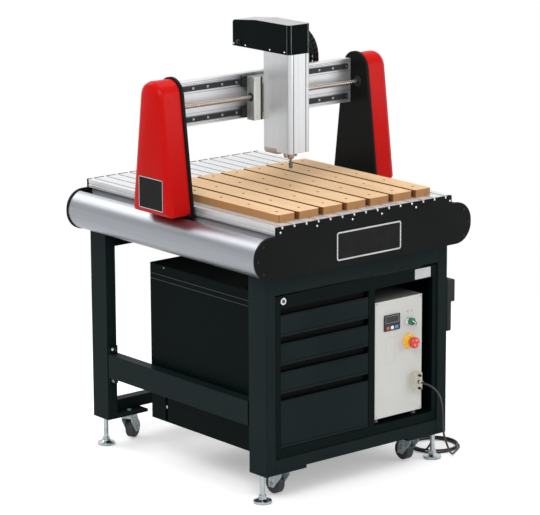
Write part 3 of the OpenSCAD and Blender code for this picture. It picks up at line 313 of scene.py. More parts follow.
def finishBoard(spec):
    tree = finishes["slatBoard"].node_tree
    base = tree.nodes["Principled BSDF"].inputs["Base Color"]
    place, color = placeIn(tree), base.links[0].from_socket
    color = mixValues(tree, spread(tree, facing(tree, "Z"), 1, 0, *spec["sawnFacing"]), color, spec["sawn"])
    # Painted shade on the faces inside the gaps between the slats
    across = spread(tree, mathNode(tree, "ABSOLUTE", facing(tree, "X")), 0, 1, *spec["gapShadeFacing"])
    reach = mathNode(tree, "ABSOLUTE", axisOf(tree, place, "X"))
    within = spread(tree, reach, 1, 0, *(boardHalf - inset for inset in spec["gapShadeInset"]))
    color = mixValues(tree, mathNode(tree, "MULTIPLY", across, within), color, spec["gap"])
    fleck = addNode(tree, "TexNoise", {"Vector": place, "Scale": spec["fleckScale"]})["Fac"]
    share = spread(tree, fleck, 0, spec["fleckShare"], *spec["fleckRange"])
    tree.links.new(mixValues(tree, share, color, spec["fleck"]), base)


finishBoard(boardSetup)
print("finishes made:", len(finishes))


# Making and placing pieces
def addPiece(name, mesh, body, finish):
    piece = addObject(name, mesh)
    mesh.materials.clear()
    mesh.materials.append(finishes[finish])
    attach(piece, body)
    return piece


def smoothByAngle(mesh, degrees=32):
    mesh.polygons.foreach_set("use_smooth", [True] * len(mesh.polygons))
    mesh.set_sharp_from_angle(angle=radians(degrees))


def applied(obj, name):
    # The evaluated shape as a plain mesh, with the modifiers gone
    bpy.context.view_layer.update()
    done = bpy.data.meshes.new_from_object(obj.evaluated_get(bpy.context.evaluated_depsgraph_get()))
    done.name = name
    bpy.data.objects.remove(obj)
    return done


def roundEdges(mesh, name, width, segments=2, angle=28):
    holder = addObject(name + "Draft", mesh)
    bevel = holder.modifiers.new("edges", "BEVEL")
    bevel.width = width / mm
    bevel.segments = segments
    bevel.limit_method = "ANGLE"
    bevel.angle_limit = radians(angle)
    bevel.harden_normals = True
    smoothByAngle(mesh)
    return applied(holder, name)


mergeReach, flatAngle = 1e-5, 1


def nodeMesh(node):
    # Copy of a node's mesh with its loose triangles merged and its flats joined
    mesh = nodes[node].data.copy()
    bm = bmesh.new()
    bm.from_mesh(mesh)
    bmesh.ops.remove_doubles(bm, verts=bm.verts, dist=mergeReach)
    bmesh.ops.dissolve_limit(bm, angle_limit=radians(flatAngle), verts=bm.verts, edges=bm.edges)
    bm.to_mesh(mesh)
    bm.free()
    mesh.materials.clear()
    return mesh


# Nodes that keep their shape: finish and radius of the eased edges, none for the rounded covers
easedNodes = dict(
    legs=("framePaint", 1.2), cross_rails=("framePaint", 1.2), side_beams=("framePaint", 1.2),
    caster_plates=("framePaint", 1.2), toolbox_shell=("cabinetPaint", 0.6), control_case=("casePaint", 0.6),
    control_panel=("panelGrey", 0.6), cable_plug=("plugBeige", 1.5), pendant_case=("pendantGrey", 4),
    pendant_holder=("plateBlack", 1.2), table_top=("tableAlu", 0.5), spoilboard=("slatBoard", 1.6),
    end_plates=("plateBlack", 1.2), side_covers=("brushedCover", 0.7), gantry_plates=("plateBlack", 1.2),
    gantry_covers=("coverRed", 0), gantry_beam=("beamAlu", 0.8), x_rails=("railSteel", 1),
    y_trucks=("truckDark", 1), x_trucks=("truckDark", 1), head_column=("columnAlu", 0.7),
    head_cover=("hoodBlack", 1.2), spindle_body=("spindleAlu", 0.6), collet_nut=("nutCopper", 0.5),
    cutter_bit=("cutterSteel", 0.3), lock_barrel=("chromeTrim", 0.6), switch_knob=("knobGreen", 1),
    estop_button=("buttonRed", 1.2),
)
fourfoldNodes = {
    "drawer_%d": ("drawerPaint", 0.7), "caster_fork_%d": ("forkZinc", 0.6),
    "caster_wheel_%d": ("wheelGrey", 1), "foot_%d": ("zincBright", 0.7),
}
easedNodes.update({label % n: look for label, look in fourfoldNodes.items() for n in range(1, 5)})
coverAngle = 40
plainNodes = dict(
    drawer_runners="zincBright", base_beams="satinAlu", y_rails="railSteel", y_drive="motorBlack",
    x_motor="motorBlack", z_motor="motorBlack", y_screw_left="screwSteel", y_screw_right="screwSteel",
    z_screw="screwSteel",
)


def pieceName(node):
    words = node.split("_")
    return words[0] + "".join(w.capitalize() for w in words[1:])


def easeNodes():
    for node, (finish, width) in easedNodes.items():
        mesh = nodeMesh(node)
        if width > 0:
            mesh = roundEdges(mesh, pieceName(node), width)
        else:
            smoothByAngle(mesh, coverAngle)
        piece = addPiece(pieceName(node) + "Shape", mesh, bodyOfNode[node], finish)
        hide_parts(node)
    for node, finish in plainNodes.items():
        nodes[node].data.materials.clear()
        nodes[node].data.materials.append(finishes[finish])


easeNodes()
print("nodes dressed:", len(easedNodes) + len(plainNodes))

# Shapes for the small pieces
front, left, right, up = (0, -1, 0), (-1, 0, 0), (1, 0, 0), (0, 0, 1)
sides = (-1, 1)


def meshFrom(bm, name, degrees=32):
    bmesh.ops.recalc_face_normals(bm, faces=bm.faces)
    mesh = bpy.data.meshes.new(name)
    bm.to_mesh(mesh)
    bm.free()
    smoothByAngle(mesh, degrees)
    return mesh


def addBands(bm, rings):
    # Faces between each ring of points and the next
    for low, high in zip(rings, rings[1:]):
        for k in range(len(low)):
            n = (k + 1) % len(low)
            bm.faces.new((low[k], low[n], high[n], high[k]))


def addEnds(bm, rings):
    bm.faces.new(rings[0])
    bm.faces.new(rings[-1])


def ringAngles(steps):
    return [2 * pi * k / steps for k in range(steps)]


def blockMesh(name, boxes, edge=0.0, segments=2):
    bm = bmesh.new()
    for low, high in boxes:
        for v in bmesh.ops.create_cube(bm, size=1)["verts"]:
            v.co = Vector([(lo + (c + 0.5) * (hi - lo)) / mm for c, lo, hi in zip(v.co, low, high)])
    if edge > 0:
        bmesh.ops.bevel(bm, geom=list(bm.edges), offset=edge / mm, segments=segments, profile=0.5, affect="EDGES")
    return meshFrom(bm, name)


def turnedMesh(name, profile, place=(0, 0, 0), along=up, steps=32, hollow=False):
    # Profile of radius and height, turned about the line through the place; a hollow one closes on itself
    bm = bmesh.new()
    turn = Vector(along).to_track_quat("Z", "Y").to_matrix()
    rings = []
    for r, h in profile:
        ring = [Vector((r * cos(a), r * sin(a), h)) for a in ringAngles(steps)]
        rings.append([bm.verts.new((Vector(place) + turn @ p) / mm) for p in ring])
    if hollow:
        rings.append(rings[0])
    addBands(bm, rings)
    if not hollow:
        addEnds(bm, rings)
    return meshFrom(bm, name)


leastCorner = 0.5


def roundedOutline(size, radius, steps=6):
    w, h = size[0] / 2 - radius, size[1] / 2 - radius
    points = []
    for cx, cy, start in ((w, h, 0), (-w, h, 90), (-w, -h, 180), (w, -h, 270)):
        for k in range(steps + 1):
            a = radians(start + 90 * k / steps)
            points.append((cx + radius * cos(a), cy + radius * sin(a)))
    return points


def plateMesh(name, centre, face, size, radius, thick, rim=0.0):
    # Rounded plate on a face that looks along the face vector; with a rim, only a frame of that width
    out = Vector(face)
    across = Vector(up).cross(out).normalized()
    bm = bmesh.new()
    loops = []
    for inset, height in ((0, 0), (0, thick), (rim, thick), (rim, 0)) if rim > 0 else ((0, 0), (0, thick)):
        outline = roundedOutline((size[0] - 2 * inset, size[1] - 2 * inset), max(radius - inset, leastCorner))
        loops.append([bm.verts.new((Vector(centre) + across * x + Vector(up) * y + out * height) / mm)
                      for x, y in outline])
    if rim > 0:
        addBands(bm, loops + [loops[0]])
    else:
        addBands(bm, loops)
        addEnds(bm, loops)
    return meshFrom(bm, name)


def joinMeshes(name, meshes):
    bm = bmesh.new()
    for mesh in meshes:
        bm.from_mesh(mesh)
    for mesh in meshes:
        bpy.data.meshes.remove(mesh)
    return meshFrom(bm, name)


# Shares of a head's radius and height: a cap screw with a socket, and a hexagon head on a round washer
socketRings = ((1, 0), (1, 0.8), (0.9, 1), (0.5, 1), (0.48, 0.35))
boltParts = (("Washer", 24, ((1.5, 0), (1.5, 0.25))), ("Head", 6, ((1, 0), (1, 0.9), (0.85, 1))))
socketSteps = 24


def socketScrew(name, radius, height):
    bm = bmesh.new()
    rings = []
    for share, rise in socketRings:
        r, h = radius * share, height * rise
        rings.append([bm.verts.new((r / mm * cos(a), r / mm * sin(a), h / mm))
                      for a in ringAngles(socketSteps)])
    addBands(bm, rings)
    bm.faces.new(rings[-1])
    return meshFrom(bm, name)


def hexBolt(name, radius, height):
    return joinMeshes(name, [turnedMesh(name + part, [(radius * r, height * h) for r, h in shares], steps=steps)
                             for part, steps, shares in boltParts])


# Geometry Nodes tree that sets one small piece on every point, turned to the point's facing
def makeRepeatTree():
    tree = bpy.data.node_groups.new("repeatOnPoints", "GeometryNodeTree")
    for label, kind in (("Geometry", "NodeSocketGeometry"), ("Piece", "NodeSocketObject"),
                        ("Finish", "NodeSocketMaterial")):
        tree.interface.new_socket(label, in_out="INPUT", socket_type=kind)
    tree.interface.new_socket("Geometry", in_out="OUTPUT", socket_type="NodeSocketGeometry")
    gin, gout, align = (tree.nodes.new(kind) for kind in (
        "NodeGroupInput", "NodeGroupOutput", "FunctionNodeAlignRotationToVector"))
    heading, source, place, real, paint = (tree.nodes.new("GeometryNode" + kind) for kind in (
        "InputNamedAttribute", "ObjectInfo", "InstanceOnPoints", "RealizeInstances", "SetMaterial"))
    heading.data_type = "FLOAT_VECTOR"
    heading.inputs["Name"].default_value = "facing"
    align.axis = "Z"
    for start, output, end, entry in (
            (heading, "Attribute", align, "Vector"), (gin, "Piece", source, "Object"),
            (gin, "Geometry", place, "Points"), (source, "Geometry", place, "Instance"),
            (align, "Rotation", place, "Rotation"), (place, "Instances", real, "Geometry"),
            (real, "Geometry", paint, "Geometry"), (gin, "Finish", paint, "Material"),
            (paint, "Geometry", gout, "Geometry")):
        tree.links.new(start.outputs[output], end.inputs[entry])
    return tree


repeatTree = makeRepeatTree()


def repeatMesh(name, unit, spots, finish):
    # Spots are pairs of a point in millimetres and the direction that the unit's +Z takes there
    carrier = bpy.data.meshes.new(name + "Points")
    carrier.from_pydata([[c / mm for c in point] for point, heading in spots], [], [])
    turned = carrier.attributes.new("facing", "FLOAT_VECTOR", "POINT")
    turned.data.foreach_set("vector", [c for point, heading in spots for c in heading])
    holder, single = addObject(name + "Draft", carrier), addObject(name + "Unit", unit)
    step = holder.modifiers.new("repeat", "NODES")
    step.node_group = repeatTree
    inputs = {item.name: item.identifier for item in repeatTree.interface.items_tree if item.in_out == "INPUT"}
    step[inputs["Piece"]] = single
    step[inputs["Finish"]] = finishes[finish]
    mesh = applied(holder, name)
    bpy.data.objects.remove(single)
    return mesh


def repeatPiece(name, unit, spots, finish, body="stand"):
    return addPiece(name, repeatMesh(name, unit, spots, finish), body, finish)


def addScrews(name, size, spots, finish, body="stand"):
    return repeatPiece(name, socketScrew(name + "Head", *size), spots, finish, body)


def addPlate(name, centre, face, shape, finish, body="stand"):
    return addPiece(name, plateMesh(name, centre, face, **shape), body, finish)


def addTurned(name, profile, place, along, steps, finish, body="stand", hollow=False):
    return addPiece(name, turnedMesh(name, profile, place, along, steps, hollow), body, finish)


def addBlocks(name, boxes, finish, body="stand", edge=0.0, segments=2):
    return addPiece(name, blockMesh(name, boxes, edge, segments), body, finish)


# Control panel: display with keys, rotary switch, stop button, faint cover plate and screws
panelFace = -456
displaySetup = dict(
    centre=(153, 517), rise=11, body=dict(size=(70, 54), radius=3, thick=3.0),
    window=dict(size=(56, 22), radius=2, thick=0.3), rim=dict(size=(58, 24), radius=2, thick=0.4, rim=1.0),
    key=dict(size=(13, 11), radius=2, thick=1.0), keyRow=500,
    keys=((134, "markRed"), (153, "keyWhite"), (172, "keyBlue")),
)
switchSetup = dict(
    centre=(232, 509), bezel=((17, 0), (17, 2), (15, 4), (15, 7), (14, 8)), steps=40, markRow=543,
    marks=((224, dict(size=(8, 8), radius=4, thick=0.15, rim=1.4)),
           (240, dict(size=(1.8, 8), radius=0.6, thick=0.15))),
    pointer=((-10, -1.1, 0), (10, 1.1, 0.3)), pointerOut=24.0, pointerTurn=-35,
)
stopSetup = dict(
    centre=(228, 441), collar=((25, 0), (25, 5), (23, 7), (20, 8), (19, 17), (18, 18)), steps=48,
    arrow=dict(size=(9, 3.2), radius=1.2, thick=0.5), arrows=3, arrowReach=9.5, arrowOut=41.1,
)
panelSetup = dict(
    cover=dict(size=(40, 89), radius=3, thick=0.15, rim=0.8), coverCentre=(148, panelFace, 423),
    screw=(2.6, 1.2), columns=(87, 281), rows=(204, 586),
)


def makeDisplay(spec):
    x, z = spec["centre"]
    body = addPlate("displayBody", (x, panelFace, z), front, spec["body"], "displayBlack")
    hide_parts("panel_fittings")
    y = panelFace - spec["body"]["thick"]
    addPlate("displayWindow", (x, y, z + spec["rise"]), front, spec["window"], "displayGlass")
    addPlate("displayRim", (x, y, z + spec["rise"]), front, spec["rim"], "trimGrey")
    for number, (keyX, finish) in enumerate(spec["keys"], 1):
        addPlate("displayKey%d" % number, (keyX, y, spec["keyRow"]), front, spec["key"], finish)


def makeSwitch(spec):
    x, z = spec["centre"]
    bezel = addTurned("switchBezel", spec["bezel"], (x, panelFace, z), front, spec["steps"], "chromeTrim")
    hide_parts("panel_fittings")
    for number, (markX, shape) in enumerate(spec["marks"], 1):
        addPlate("switchMark%d" % number, (markX, panelFace, spec["markRow"]), front, shape, "markRed")


def makePointer(spec):
    x, z = spec["centre"]
    pointer = blockMesh("switchPointer", [spec["pointer"]])
    turn = Matrix.Rotation(radians(90), 4, "X") @ Matrix.Rotation(radians(spec["pointerTurn"]), 4, "Z")
    pointer.transform(Matrix.Translation(Vector((x, panelFace - spec["pointerOut"], z)) / mm) @ turn)
    addPiece("switchPointer", pointer, "switch", "keyWhite")


def makeStop(spec):
    x, z = spec["centre"]
    collar = addTurned("stopCollar", spec["collar"], (x, panelFace, z), front, spec["steps"], "collarYellow")
    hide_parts("panel_fittings")


def makeArrows(spec):
    x, z = spec["centre"]
    arrows, reach, y = [], spec["arrowReach"], panelFace - spec["arrowOut"]
    for turn in ringAngles(spec["arrows"]):
        a = turn + pi / 2
        arrow = plateMesh("arrowPart", (0, 0, 0), front, **spec["arrow"])
        spot = Vector((x + reach * cos(a), y, z + reach * sin(a))) / mm
        arrow.transform(Matrix.Translation(spot) @ Matrix.Rotation(-(a + pi / 2), 4, "Y"))
        arrows.append(arrow)
    addPiece("stopArrows", joinMeshes("stopArrows", arrows), "estop", "arrowPale")


def makePanelTrim(spec):
    addPlate("coverPlateRim", spec["coverCentre"], front, spec["cover"], "panelShade")
    spots = [((x, panelFace, z), front) for x in spec["columns"] for z in spec["rows"]]
    addScrews("panelScrews", spec["screw"], spots, "trimGrey")


makeDisplay(displaySetup)
makeSwitch(switchSetup)
makeStop(stopSetup)
makePanelTrim(panelSetup)
makePointer(switchSetup)
makeArrows(stopSetup)

# Plug: thumb screws and ribbed strain relief over the beige hood
plugSetup = dict(
    centre=(255, 301), tall=58, deep=24, inset=7,
    screw=((4.2, 0), (4.2, 9), (3.4, 10)), screwSteps=20, reliefSteps=24,
    collar=[(6.6, 0), (6.6, 3)], ribs=8, ribFrom=(6.4, 4), ribStep=(0.5, 1.4), tip=[(4.2, 16)],
)


def makePlugTrim(spec):
    x, z = spec["centre"]
    y = panelFace - spec["deep"]
    unit = turnedMesh("thumbScrew", spec["screw"], steps=spec["screwSteps"])
    spots = [((x, y, z + s * (spec["tall"] / 2 - spec["inset"])), front) for s in sides]
    repeatPiece("plugThumbScrews", unit, spots, "motorBlack")
    (r, h), (narrower, further) = spec["ribFrom"], spec["ribStep"]
    ribs = [(r - narrower * (k - k % 2), h + further * k) for k in range(spec["ribs"])]
    profile = spec["collar"] + ribs + spec["tip"]
    addTurned("plugRelief", profile, (x, y, z), front, spec["reliefSteps"], "cableBlack")


makePlugTrim(plugSetup)

# Bare plates with silver rims: front badge, cabinet label and the panels low on the red covers
plateShare = 0.7
coverPanel = dict(size=(126, 104), radius=5, thick=1.2, rim=2.4)
plateSetup = dict(
    badge=((10, -502.5, 822), front, dict(size=(276, 94), radius=9, thick=2.2, rim=5.0), "badgeBlack", "stand"),
    cabinetLabel=((286, -460, 663), front, dict(size=(70, 34), radius=2.5, thick=1.0, rim=1.6),
                  "labelPale", "stand"),
    coverPanelLeft=((-486, -2, 964), left, coverPanel, "badgeBlack", "gantry"),
    coverPanelRight=((486, -2, 964), right, coverPanel, "badgeBlack", "gantry"),
)


def makePlates(setup):
    for name, (centre, face, shape, finish, body) in setup.items():
        plain = {**shape, "thick": shape["thick"] * plateShare, "rim": 0.0}
        addPlate(name, centre, face, plain, finish, body)
        addPlate(name + "Rim", centre, face, shape, "badgeSilver", body)


makePlates(plateSetup)

# Screws and bolts, each with its head's radius and height, and bright trims at the slots' ends
endFace = 502.5
fastenerSetup = dict(
    railScrews=dict(size=(4.0, 0.2), count=13, pitch=60, y=8, rows=(1184, 1286)),
    endScrews=dict(size=(3.6, 2.0), columns=(-361, -210, -61, 65, 214, 365), row=903),
    endBolts=dict(size=(4.5, 2.0), places=((430, 866), (452, 822), (430, 778))),
    slatScrews=dict(size=(4.6, 3.0), columns=(-291.5, -200, -100, 0, 100, 200, 291.5),
                    rows=(-401.5, -261.5, -121.5, 18.5, 158.5), z=936),
    flangeBolts=dict(size=(8.0, 7.0), place=(370, 374), rows=(238, 344)),
    notchTrims=dict(box=((-4.6, -5.5, 0), (4.6, 5.5, 6.0)), edge=0.3, count=15, pitch=50,
                    y=493.4, z=913),
)


def evenly(spec):
    return [(k - (spec["count"] - 1) / 2) * spec["pitch"] for k in range(spec["count"])]


def makeFasteners(setup):
    rail, end, bolt, slat, flange, notch = setup.values()
    spots = [((x, rail["y"], z), front) for x in evenly(rail) for z in rail["rows"]]
    addScrews("railScrews", rail["size"], spots, "trimGrey", "gantry")
    spots = [((x, s * endFace, end["row"]), (0, s, 0)) for x in end["columns"] for s in sides]
    addScrews("endScrews", end["size"], spots, "chromeTrim")
    spots = [((m * x, s * endFace, z), (0, s, 0)) for x, z in bolt["places"] for s in sides for m in sides]
    addScrews("endBolts", bolt["size"], spots, "motorBlack")
    spots = [((x, y, slat["z"]), up) for x in slat["columns"] for y in slat["rows"]]
    addScrews("slatScrews", slat["size"], spots, "trimGrey")
    x, y = flange["place"]
    spots = [((m * x, s * y, z), (0, -s, 0)) for m in sides for s in sides for z in flange["rows"]]
    repeatPiece("flangeBolts", hexBolt("flangeBolt", *flange["size"]), spots, "zincBright")
    spots = [((x, s * notch["y"], notch["z"]), (0, s, 0)) for x in evenly(notch) for s in sides]
    repeatPiece("notchTrims", blockMesh("notchTrim", [notch["box"]], notch["edge"]), spots, "tableAlu")


makeFasteners(fastenerSetup)
print("panel, plates and fasteners made")

# Cable chain: links along the upper run, round the bend and back along the lower run
chainSetup = dict(
    bend=(206, 1305), radius=122.5, endX=160, fixX=-95, y=(124, 160), links=42,
    half=12, plate=2.5, plateClear=0.5, bar=4.6, barClear=0.8, barHalf=1,
    tongueInset=2, tongueClear=1, edge=(0.7, 1), still=1.195, moving=1.415,
)


def makeChain(spec):
    cx, cz = spec["bend"]
    y0, y1 = spec["y"]
    r, h, endX, links = spec["radius"], spec["half"], spec["endX"], spec["links"]
    upper, bend, lower = cx - endX, pi * r, cx - spec["fixX"]
    pitch = (upper + bend + lower) / links
    mid, outer = (y0 + y1) / 2, (y1 - y0) / 2
    spots = []
    for k in range(links):
        s = (k + 0.5) * pitch
        if s < upper:
            spots.append(((endX + s, mid, cz + r), right))
        elif s < upper + bend:
            a = pi / 2 - (s - upper) / r
            spots.append(((cx + r * cos(a), mid, cz + r * sin(a)), (sin(a), 0, -cos(a))))
        else:
            spots.append(((cx - (s - upper - bend), mid, cz - r), left))
    # One link: bars above and below, and on each side a plate and a tongue towards the next link
    plateEnd, plateIn = pitch / 2 - spec["plateClear"], outer - spec["plate"]
    barEnd, barIn, thick = pitch / 2 - spec["barClear"], outer - spec["bar"], spec["barHalf"]
    tongueEnd, tongueTop = pitch - spec["tongueClear"], h - spec["tongueInset"]
    parts = [((-barEnd, -barIn, z - thick), (barEnd, barIn, z + thick)) for z in (thick - h, h - thick)]
    for s in sides:
        near, far = sorted((s * outer, s * plateIn))
        parts.append(((-plateEnd, near, -h), (plateEnd, far, h)))
        near, far = sorted((s * plateIn, s * barIn))
        parts.append(((0, near, -tongueTop), (tongueEnd, far, tongueTop)))
    mesh = repeatMesh("chainLinks", blockMesh("chainLink", parts, *spec["edge"]), spots, "chainBlack")
    chain = addObject("chainLinks", mesh)
    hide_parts("cable_chain")
    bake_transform(chain)


makeChain(chainSetup)

# Ball screw of the gantry, with its thread, and the bearing rings on the plates
screwSetup = dict(
    ends=(-400, 400), place=(-16, 1235), radius=8, lead=10, depth=0.9, rings=10, sides=18,
    sharp=50, bearing=((19, 0), (19, 2), (16, 4), (9, 4), (9, 0)), bearingX=390, bearingSteps=36,
)


def makeBallScrew(spec):
    bm = bmesh.new()
    y, z = spec["place"]
    x0, x1 = spec["ends"]
    count = int((x1 - x0) / spec["lead"] * spec["rings"])
    rows = []
    for i in range(count + 1):
        x = x0 + (x1 - x0) * i / count
        row = []
        for a in ringAngles(spec["sides"]):
            wave = cos(2 * pi * x / spec["lead"] - a)
            r = spec["radius"] - spec["depth"] * sqrt(max(0, wave))
            row.append(bm.verts.new((x / mm, (y + r * cos(a)) / mm, (z + r * sin(a)) / mm)))
        rows.append(row)
    addBands(bm, rows)
    addEnds(bm, rows)
    screw = addPiece("ballScrew", meshFrom(bm, "ballScrew", spec["sharp"]), "x_screw", "screwSteel")
    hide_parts("x_screw")
    ring = turnedMesh("bearingRing", spec["bearing"], steps=spec["bearingSteps"], hollow=True)
    spots = [((s * spec["bearingX"], y, z), (-s, 0, 0)) for s in sides]
    repeatPiece("bearingRings", ring, spots, "motorBlack", "gantry")


makeBallScrew(screwSetup)

# Saddle with rounded front corners, seams, bolts and rings against dust
saddleSetup = dict(
    half=80, front=-34, corner=6.0, cornerSteps=4, edge=1.0, near=0.5, least=10, proud=0.15,
    seamY=(-13.2, -12), seamRuns=((1162.5, 1219), (1251, 1299)), strip=(44, 52), stripZ=(1159.5, 1302),
    bolt=(4.0, 0.8), boltX=69, boltRows=(1171.5, 1290),
    dust=((14.6, 0), (14.6, 1), (9.2, 1), (9.2, 0)), dustSteps=36, dustPlace=(75, -16, 1235),
)


def saddleCorner(edge, spec):
    # An upright edge at one of the front corners
    ends, near = [v.co * mm for v in edge.verts], spec["near"]
    placed = all(abs(abs(p.x) - spec["half"]) < near and abs(p.y - spec["front"]) < near for p in ends)
    return placed and abs(ends[0].z - ends[1].z) > spec["least"]


def makeSaddle(spec):
    mesh = nodeMesh("x_saddle")
    bm = bmesh.new()
    bm.from_mesh(mesh)
    bmesh.ops.bevel(bm, geom=[e for e in bm.edges if saddleCorner(e, spec)], offset=spec["corner"] / mm,
                    segments=spec["cornerSteps"], profile=0.5, affect="EDGES")
    bm.to_mesh(mesh)
    bm.free()
    saddle = addPiece("saddleShape", roundEdges(mesh, "saddleShape", spec["edge"]), "carriage", "saddleAlu")
    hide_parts("x_saddle")
    half, face, proud, seams = spec["half"], spec["front"], spec["proud"], []
    (y0, y1), (low, top) = spec["seamY"], spec["stripZ"]
    for s in sides:
        x0, x1 = sorted((s * half, s * (half + proud)))
        seams += [((x0, y0, z0), (x1, y1, z1)) for z0, z1 in spec["seamRuns"]]
        x0, x1 = sorted(s * x for x in spec["strip"])
        seams.append(((x0, face - proud, low), (x1, face, top)))
    addBlocks("saddleSeams", seams, "seamDark", "carriage")
    spots = [((s * spec["boltX"], face, z), front) for s in sides for z in spec["boltRows"]]
    addScrews("saddleBolts", spec["bolt"], spots, "saddleAlu", "carriage")
    dust = turnedMesh("dustRing", spec["dust"], steps=spec["dustSteps"], hollow=True)
    x, y, z = spec["dustPlace"]
    repeatPiece("dustRings", dust, [((s * x, y, z), (s, 0, 0)) for s in sides], "motorBlack", "carriage")


makeSaddle(saddleSetup)

# Head: painted shade strips in the column's grooves, boss under its rear, painted highlight lines on the hood's
# corners, gland and screws on the hood
headSetup = dict(
    grooves=(-26, 26), grooveHalf=1.4, grooveDepth=(0.5, 2.9), face=-172, low=1062, top=1386,
    boss=((-46.5, -112, 1051), (46.5, -40, 1075)), bossEdge=(9, 4), hoodHalf=46, hoodCorner=10,
    hoodZ=(1389, 1485), highlightWidth=0.9, highlightProud=0.12, screw=(2.8, 1.4),
    screws=((-150, 1396), (-76, 1396), (50, 1396), (111, 1396)),
    gland=((8, 0), (8, 3), (6, 4), (6, 9), (4, 11)), glandPlace=(-46, 84, 1404), glandSteps=28,
)


def makeHeadTrim(spec):
    face, hood, half, proud = spec["face"], spec["hoodHalf"], spec["highlightWidth"] / 2, spec["highlightProud"]
    wide, (shallow, deep) = spec["grooveHalf"], spec["grooveDepth"]
    # Painted shade: dark strips set into the column's grooves
    strips = [((x - wide, face + shallow, spec["low"]), (x + wide, face + deep, spec["top"]))
              for x in spec["grooves"]]
    addBlocks("columnGrooves", strips, "seamDark", "head")
    addBlocks("columnBoss", [spec["boss"]], "bossTan", "head", *spec["bossEdge"])
    spots = [((s * hood, y, z), (s, 0, 0)) for y, z in spec["screws"] for s in sides]
    addScrews("hoodScrews", spec["screw"], spots, "chromeTrim", "head")
    low, top = spec["hoodZ"]
    # Painted highlights: light strips at the edges of the hood's rounded front corners
    lines = []
    for s in sides:
        x, y = s * (hood - spec["hoodCorner"]), face + spec["hoodCorner"]
        lines.append(((x - half, face - proud, low), (x + half, face, top)))
        x0, x1 = sorted((s * hood, s * (hood + proud)))
        lines.append(((x0, y - half, low), (x1, y + half, top)))
    addBlocks("hoodLines", lines, "trimGrey", "head")
    addTurned("hoodGland", spec["gland"], spec["glandPlace"], left, spec["glandSteps"], "motorBlack", "head")


makeHeadTrim(headSetup)

# Beam: extrusion lines above, between and below the rails
beamSetup = dict(half=389, face=20, rows=(1166, 1171, 1202, 1268, 1299, 1304), width=1.4, proud=0.12)


def makeBeamLines(spec):
    x, y, half = spec["half"], spec["face"], spec["width"] / 2
    lines = [((-x, y - spec["proud"], z - half), (x, y, z + half)) for z in spec["rows"]]
    addBlocks("beamLines", lines, "seamGrey", "gantry")


makeBeamLines(beamSetup)

# Cabinet: fold lines and screws on its sides
cabinetSetup = dict(
    half=352, proud=0.5, bead=0.8, edge=(0.15, 1), folds=(649, 631), y=(-372, 183),
    stripe=-368, z=(152, 680), screw=(3.2, 1.6), screws=((-350, 677), (110, 677)),
)


def makeCabinetTrim(spec):
    half, bead, stripe, beads = spec["half"], spec["bead"], spec["stripe"], []
    (y0, y1), (z0, z1) = spec["y"], spec["z"]
    for s in sides:
        x0, x1 = sorted((s * half, s * (half + spec["proud"])))
        beads += [((x0, y0, z - bead), (x1, y1, z + bead)) for z in spec["folds"]]
        beads.append(((x0, stripe - bead, z0), (x1, stripe + bead, z1)))
    addBlocks("cabinetFolds", beads, "foldPaint", "stand", *spec["edge"])
    spots = [((s * half, y, z), (s, 0, 0)) for y, z in spec["screws"] for s in sides]
    addScrews("cabinetScrews", spec["screw"], spots, "trimGrey")


makeCabinetTrim(cabinetSetup)

# Lock's plug, and the fold along the foot of each drawer's front
lockSetup = dict(ring=((6.2, 0), (6.2, 0.5), (1.6, 0.5), (1.6, 0)), steps=28)
foldSetup = dict(rise=10, half=1.0, proud=0.4, inset=3, edge=(0.15, 1))


def makeLockPlug(spec):
    low, high = (Vector(v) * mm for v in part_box("lock_barrel"))
    place = ((low.x + high.x) / 2, low.y, (low.z + high.z) / 2)
    addTurned("lockPlug", spec["ring"], place, front, spec["steps"], "seamDark", "lock", True)


def makeDrawerFolds(spec):
    inset, half = spec["inset"], spec["half"]
    for n in range(1, 5):
        low, high = (Vector(v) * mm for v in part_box("drawer_%d" % n))
        z = low.z + spec["rise"]
        bead = ((low.x + inset, low.y - spec["proud"], z - half), (high.x - inset, low.y, z + half))
        addBlocks("drawerFold%d" % n, [bead], "cabinetPaint", "drawer_%d" % n, *spec["edge"])


makeLockPlug(lockSetup)
makeDrawerFolds(foldSetup)

# Hand control: screen and keys on its outer face
pendantSetup = dict(
    place=(432, -423, 584), screen=dict(size=(58, 46), radius=3, thick=0.6),
    rim=dict(size=(62, 50), radius=4, thick=0.9, rim=1.8), key=dict(size=(11, 12), radius=2, thick=1.6),
    keyX=416, keyColumns=(-446, -431, -416, -401), keyRows=(462, 480, 498, 516),
)


def makePendantFace(spec):
    addPlate("pendantScreen", spec["place"], right, spec["screen"], "displayGlass")
    addPlate("pendantScreenRim", spec["place"], right, spec["rim"], "trimGrey")
    key = plateMesh("pendantKey", (0, 0, 0), front, **spec["key"])
    key.transform(Matrix.Rotation(radians(-90), 4, "X"))
    spots = [((spec["keyX"], y, z), right) for y in spec["keyColumns"] for z in spec["keyRows"]]
    repeatPiece("pendantKeys", key, spots, "keyWhite")


makePendantFace(pendantSetup)

# Casters: axle bolts that turn with the wheels
casterSetup = dict(
    x=283, y=407, trail=28, axleZ=38.5, half=21, turns=(270, 270, 210, 160), bolt=(5.2, 3.2),
)


def makeCasterBolts(spec):
    for n, turn in enumerate(spec["turns"]):
        a = radians(turn)
        cx = sides[n % 2] * spec["x"] - spec["trail"] * cos(a)
        cy = sides[n // 2] * spec["y"] - spec["trail"] * sin(a)
        axle, out = Vector((cx, cy, spec["axleZ"])), Vector((-sin(a), cos(a), 0))
        spots = [(tuple(axle + out * s * spec["half"]), tuple(out * s)) for s in sides]
        bolt = hexBolt("casterBolt", *spec["bolt"])
        repeatPiece("casterBolts%d" % (n + 1), bolt, spots, "forkZinc", "caster_wheel_%d" % (n + 1))


makeCasterBolts(casterSetup)
print("head, gantry, cabinet and caster details made")

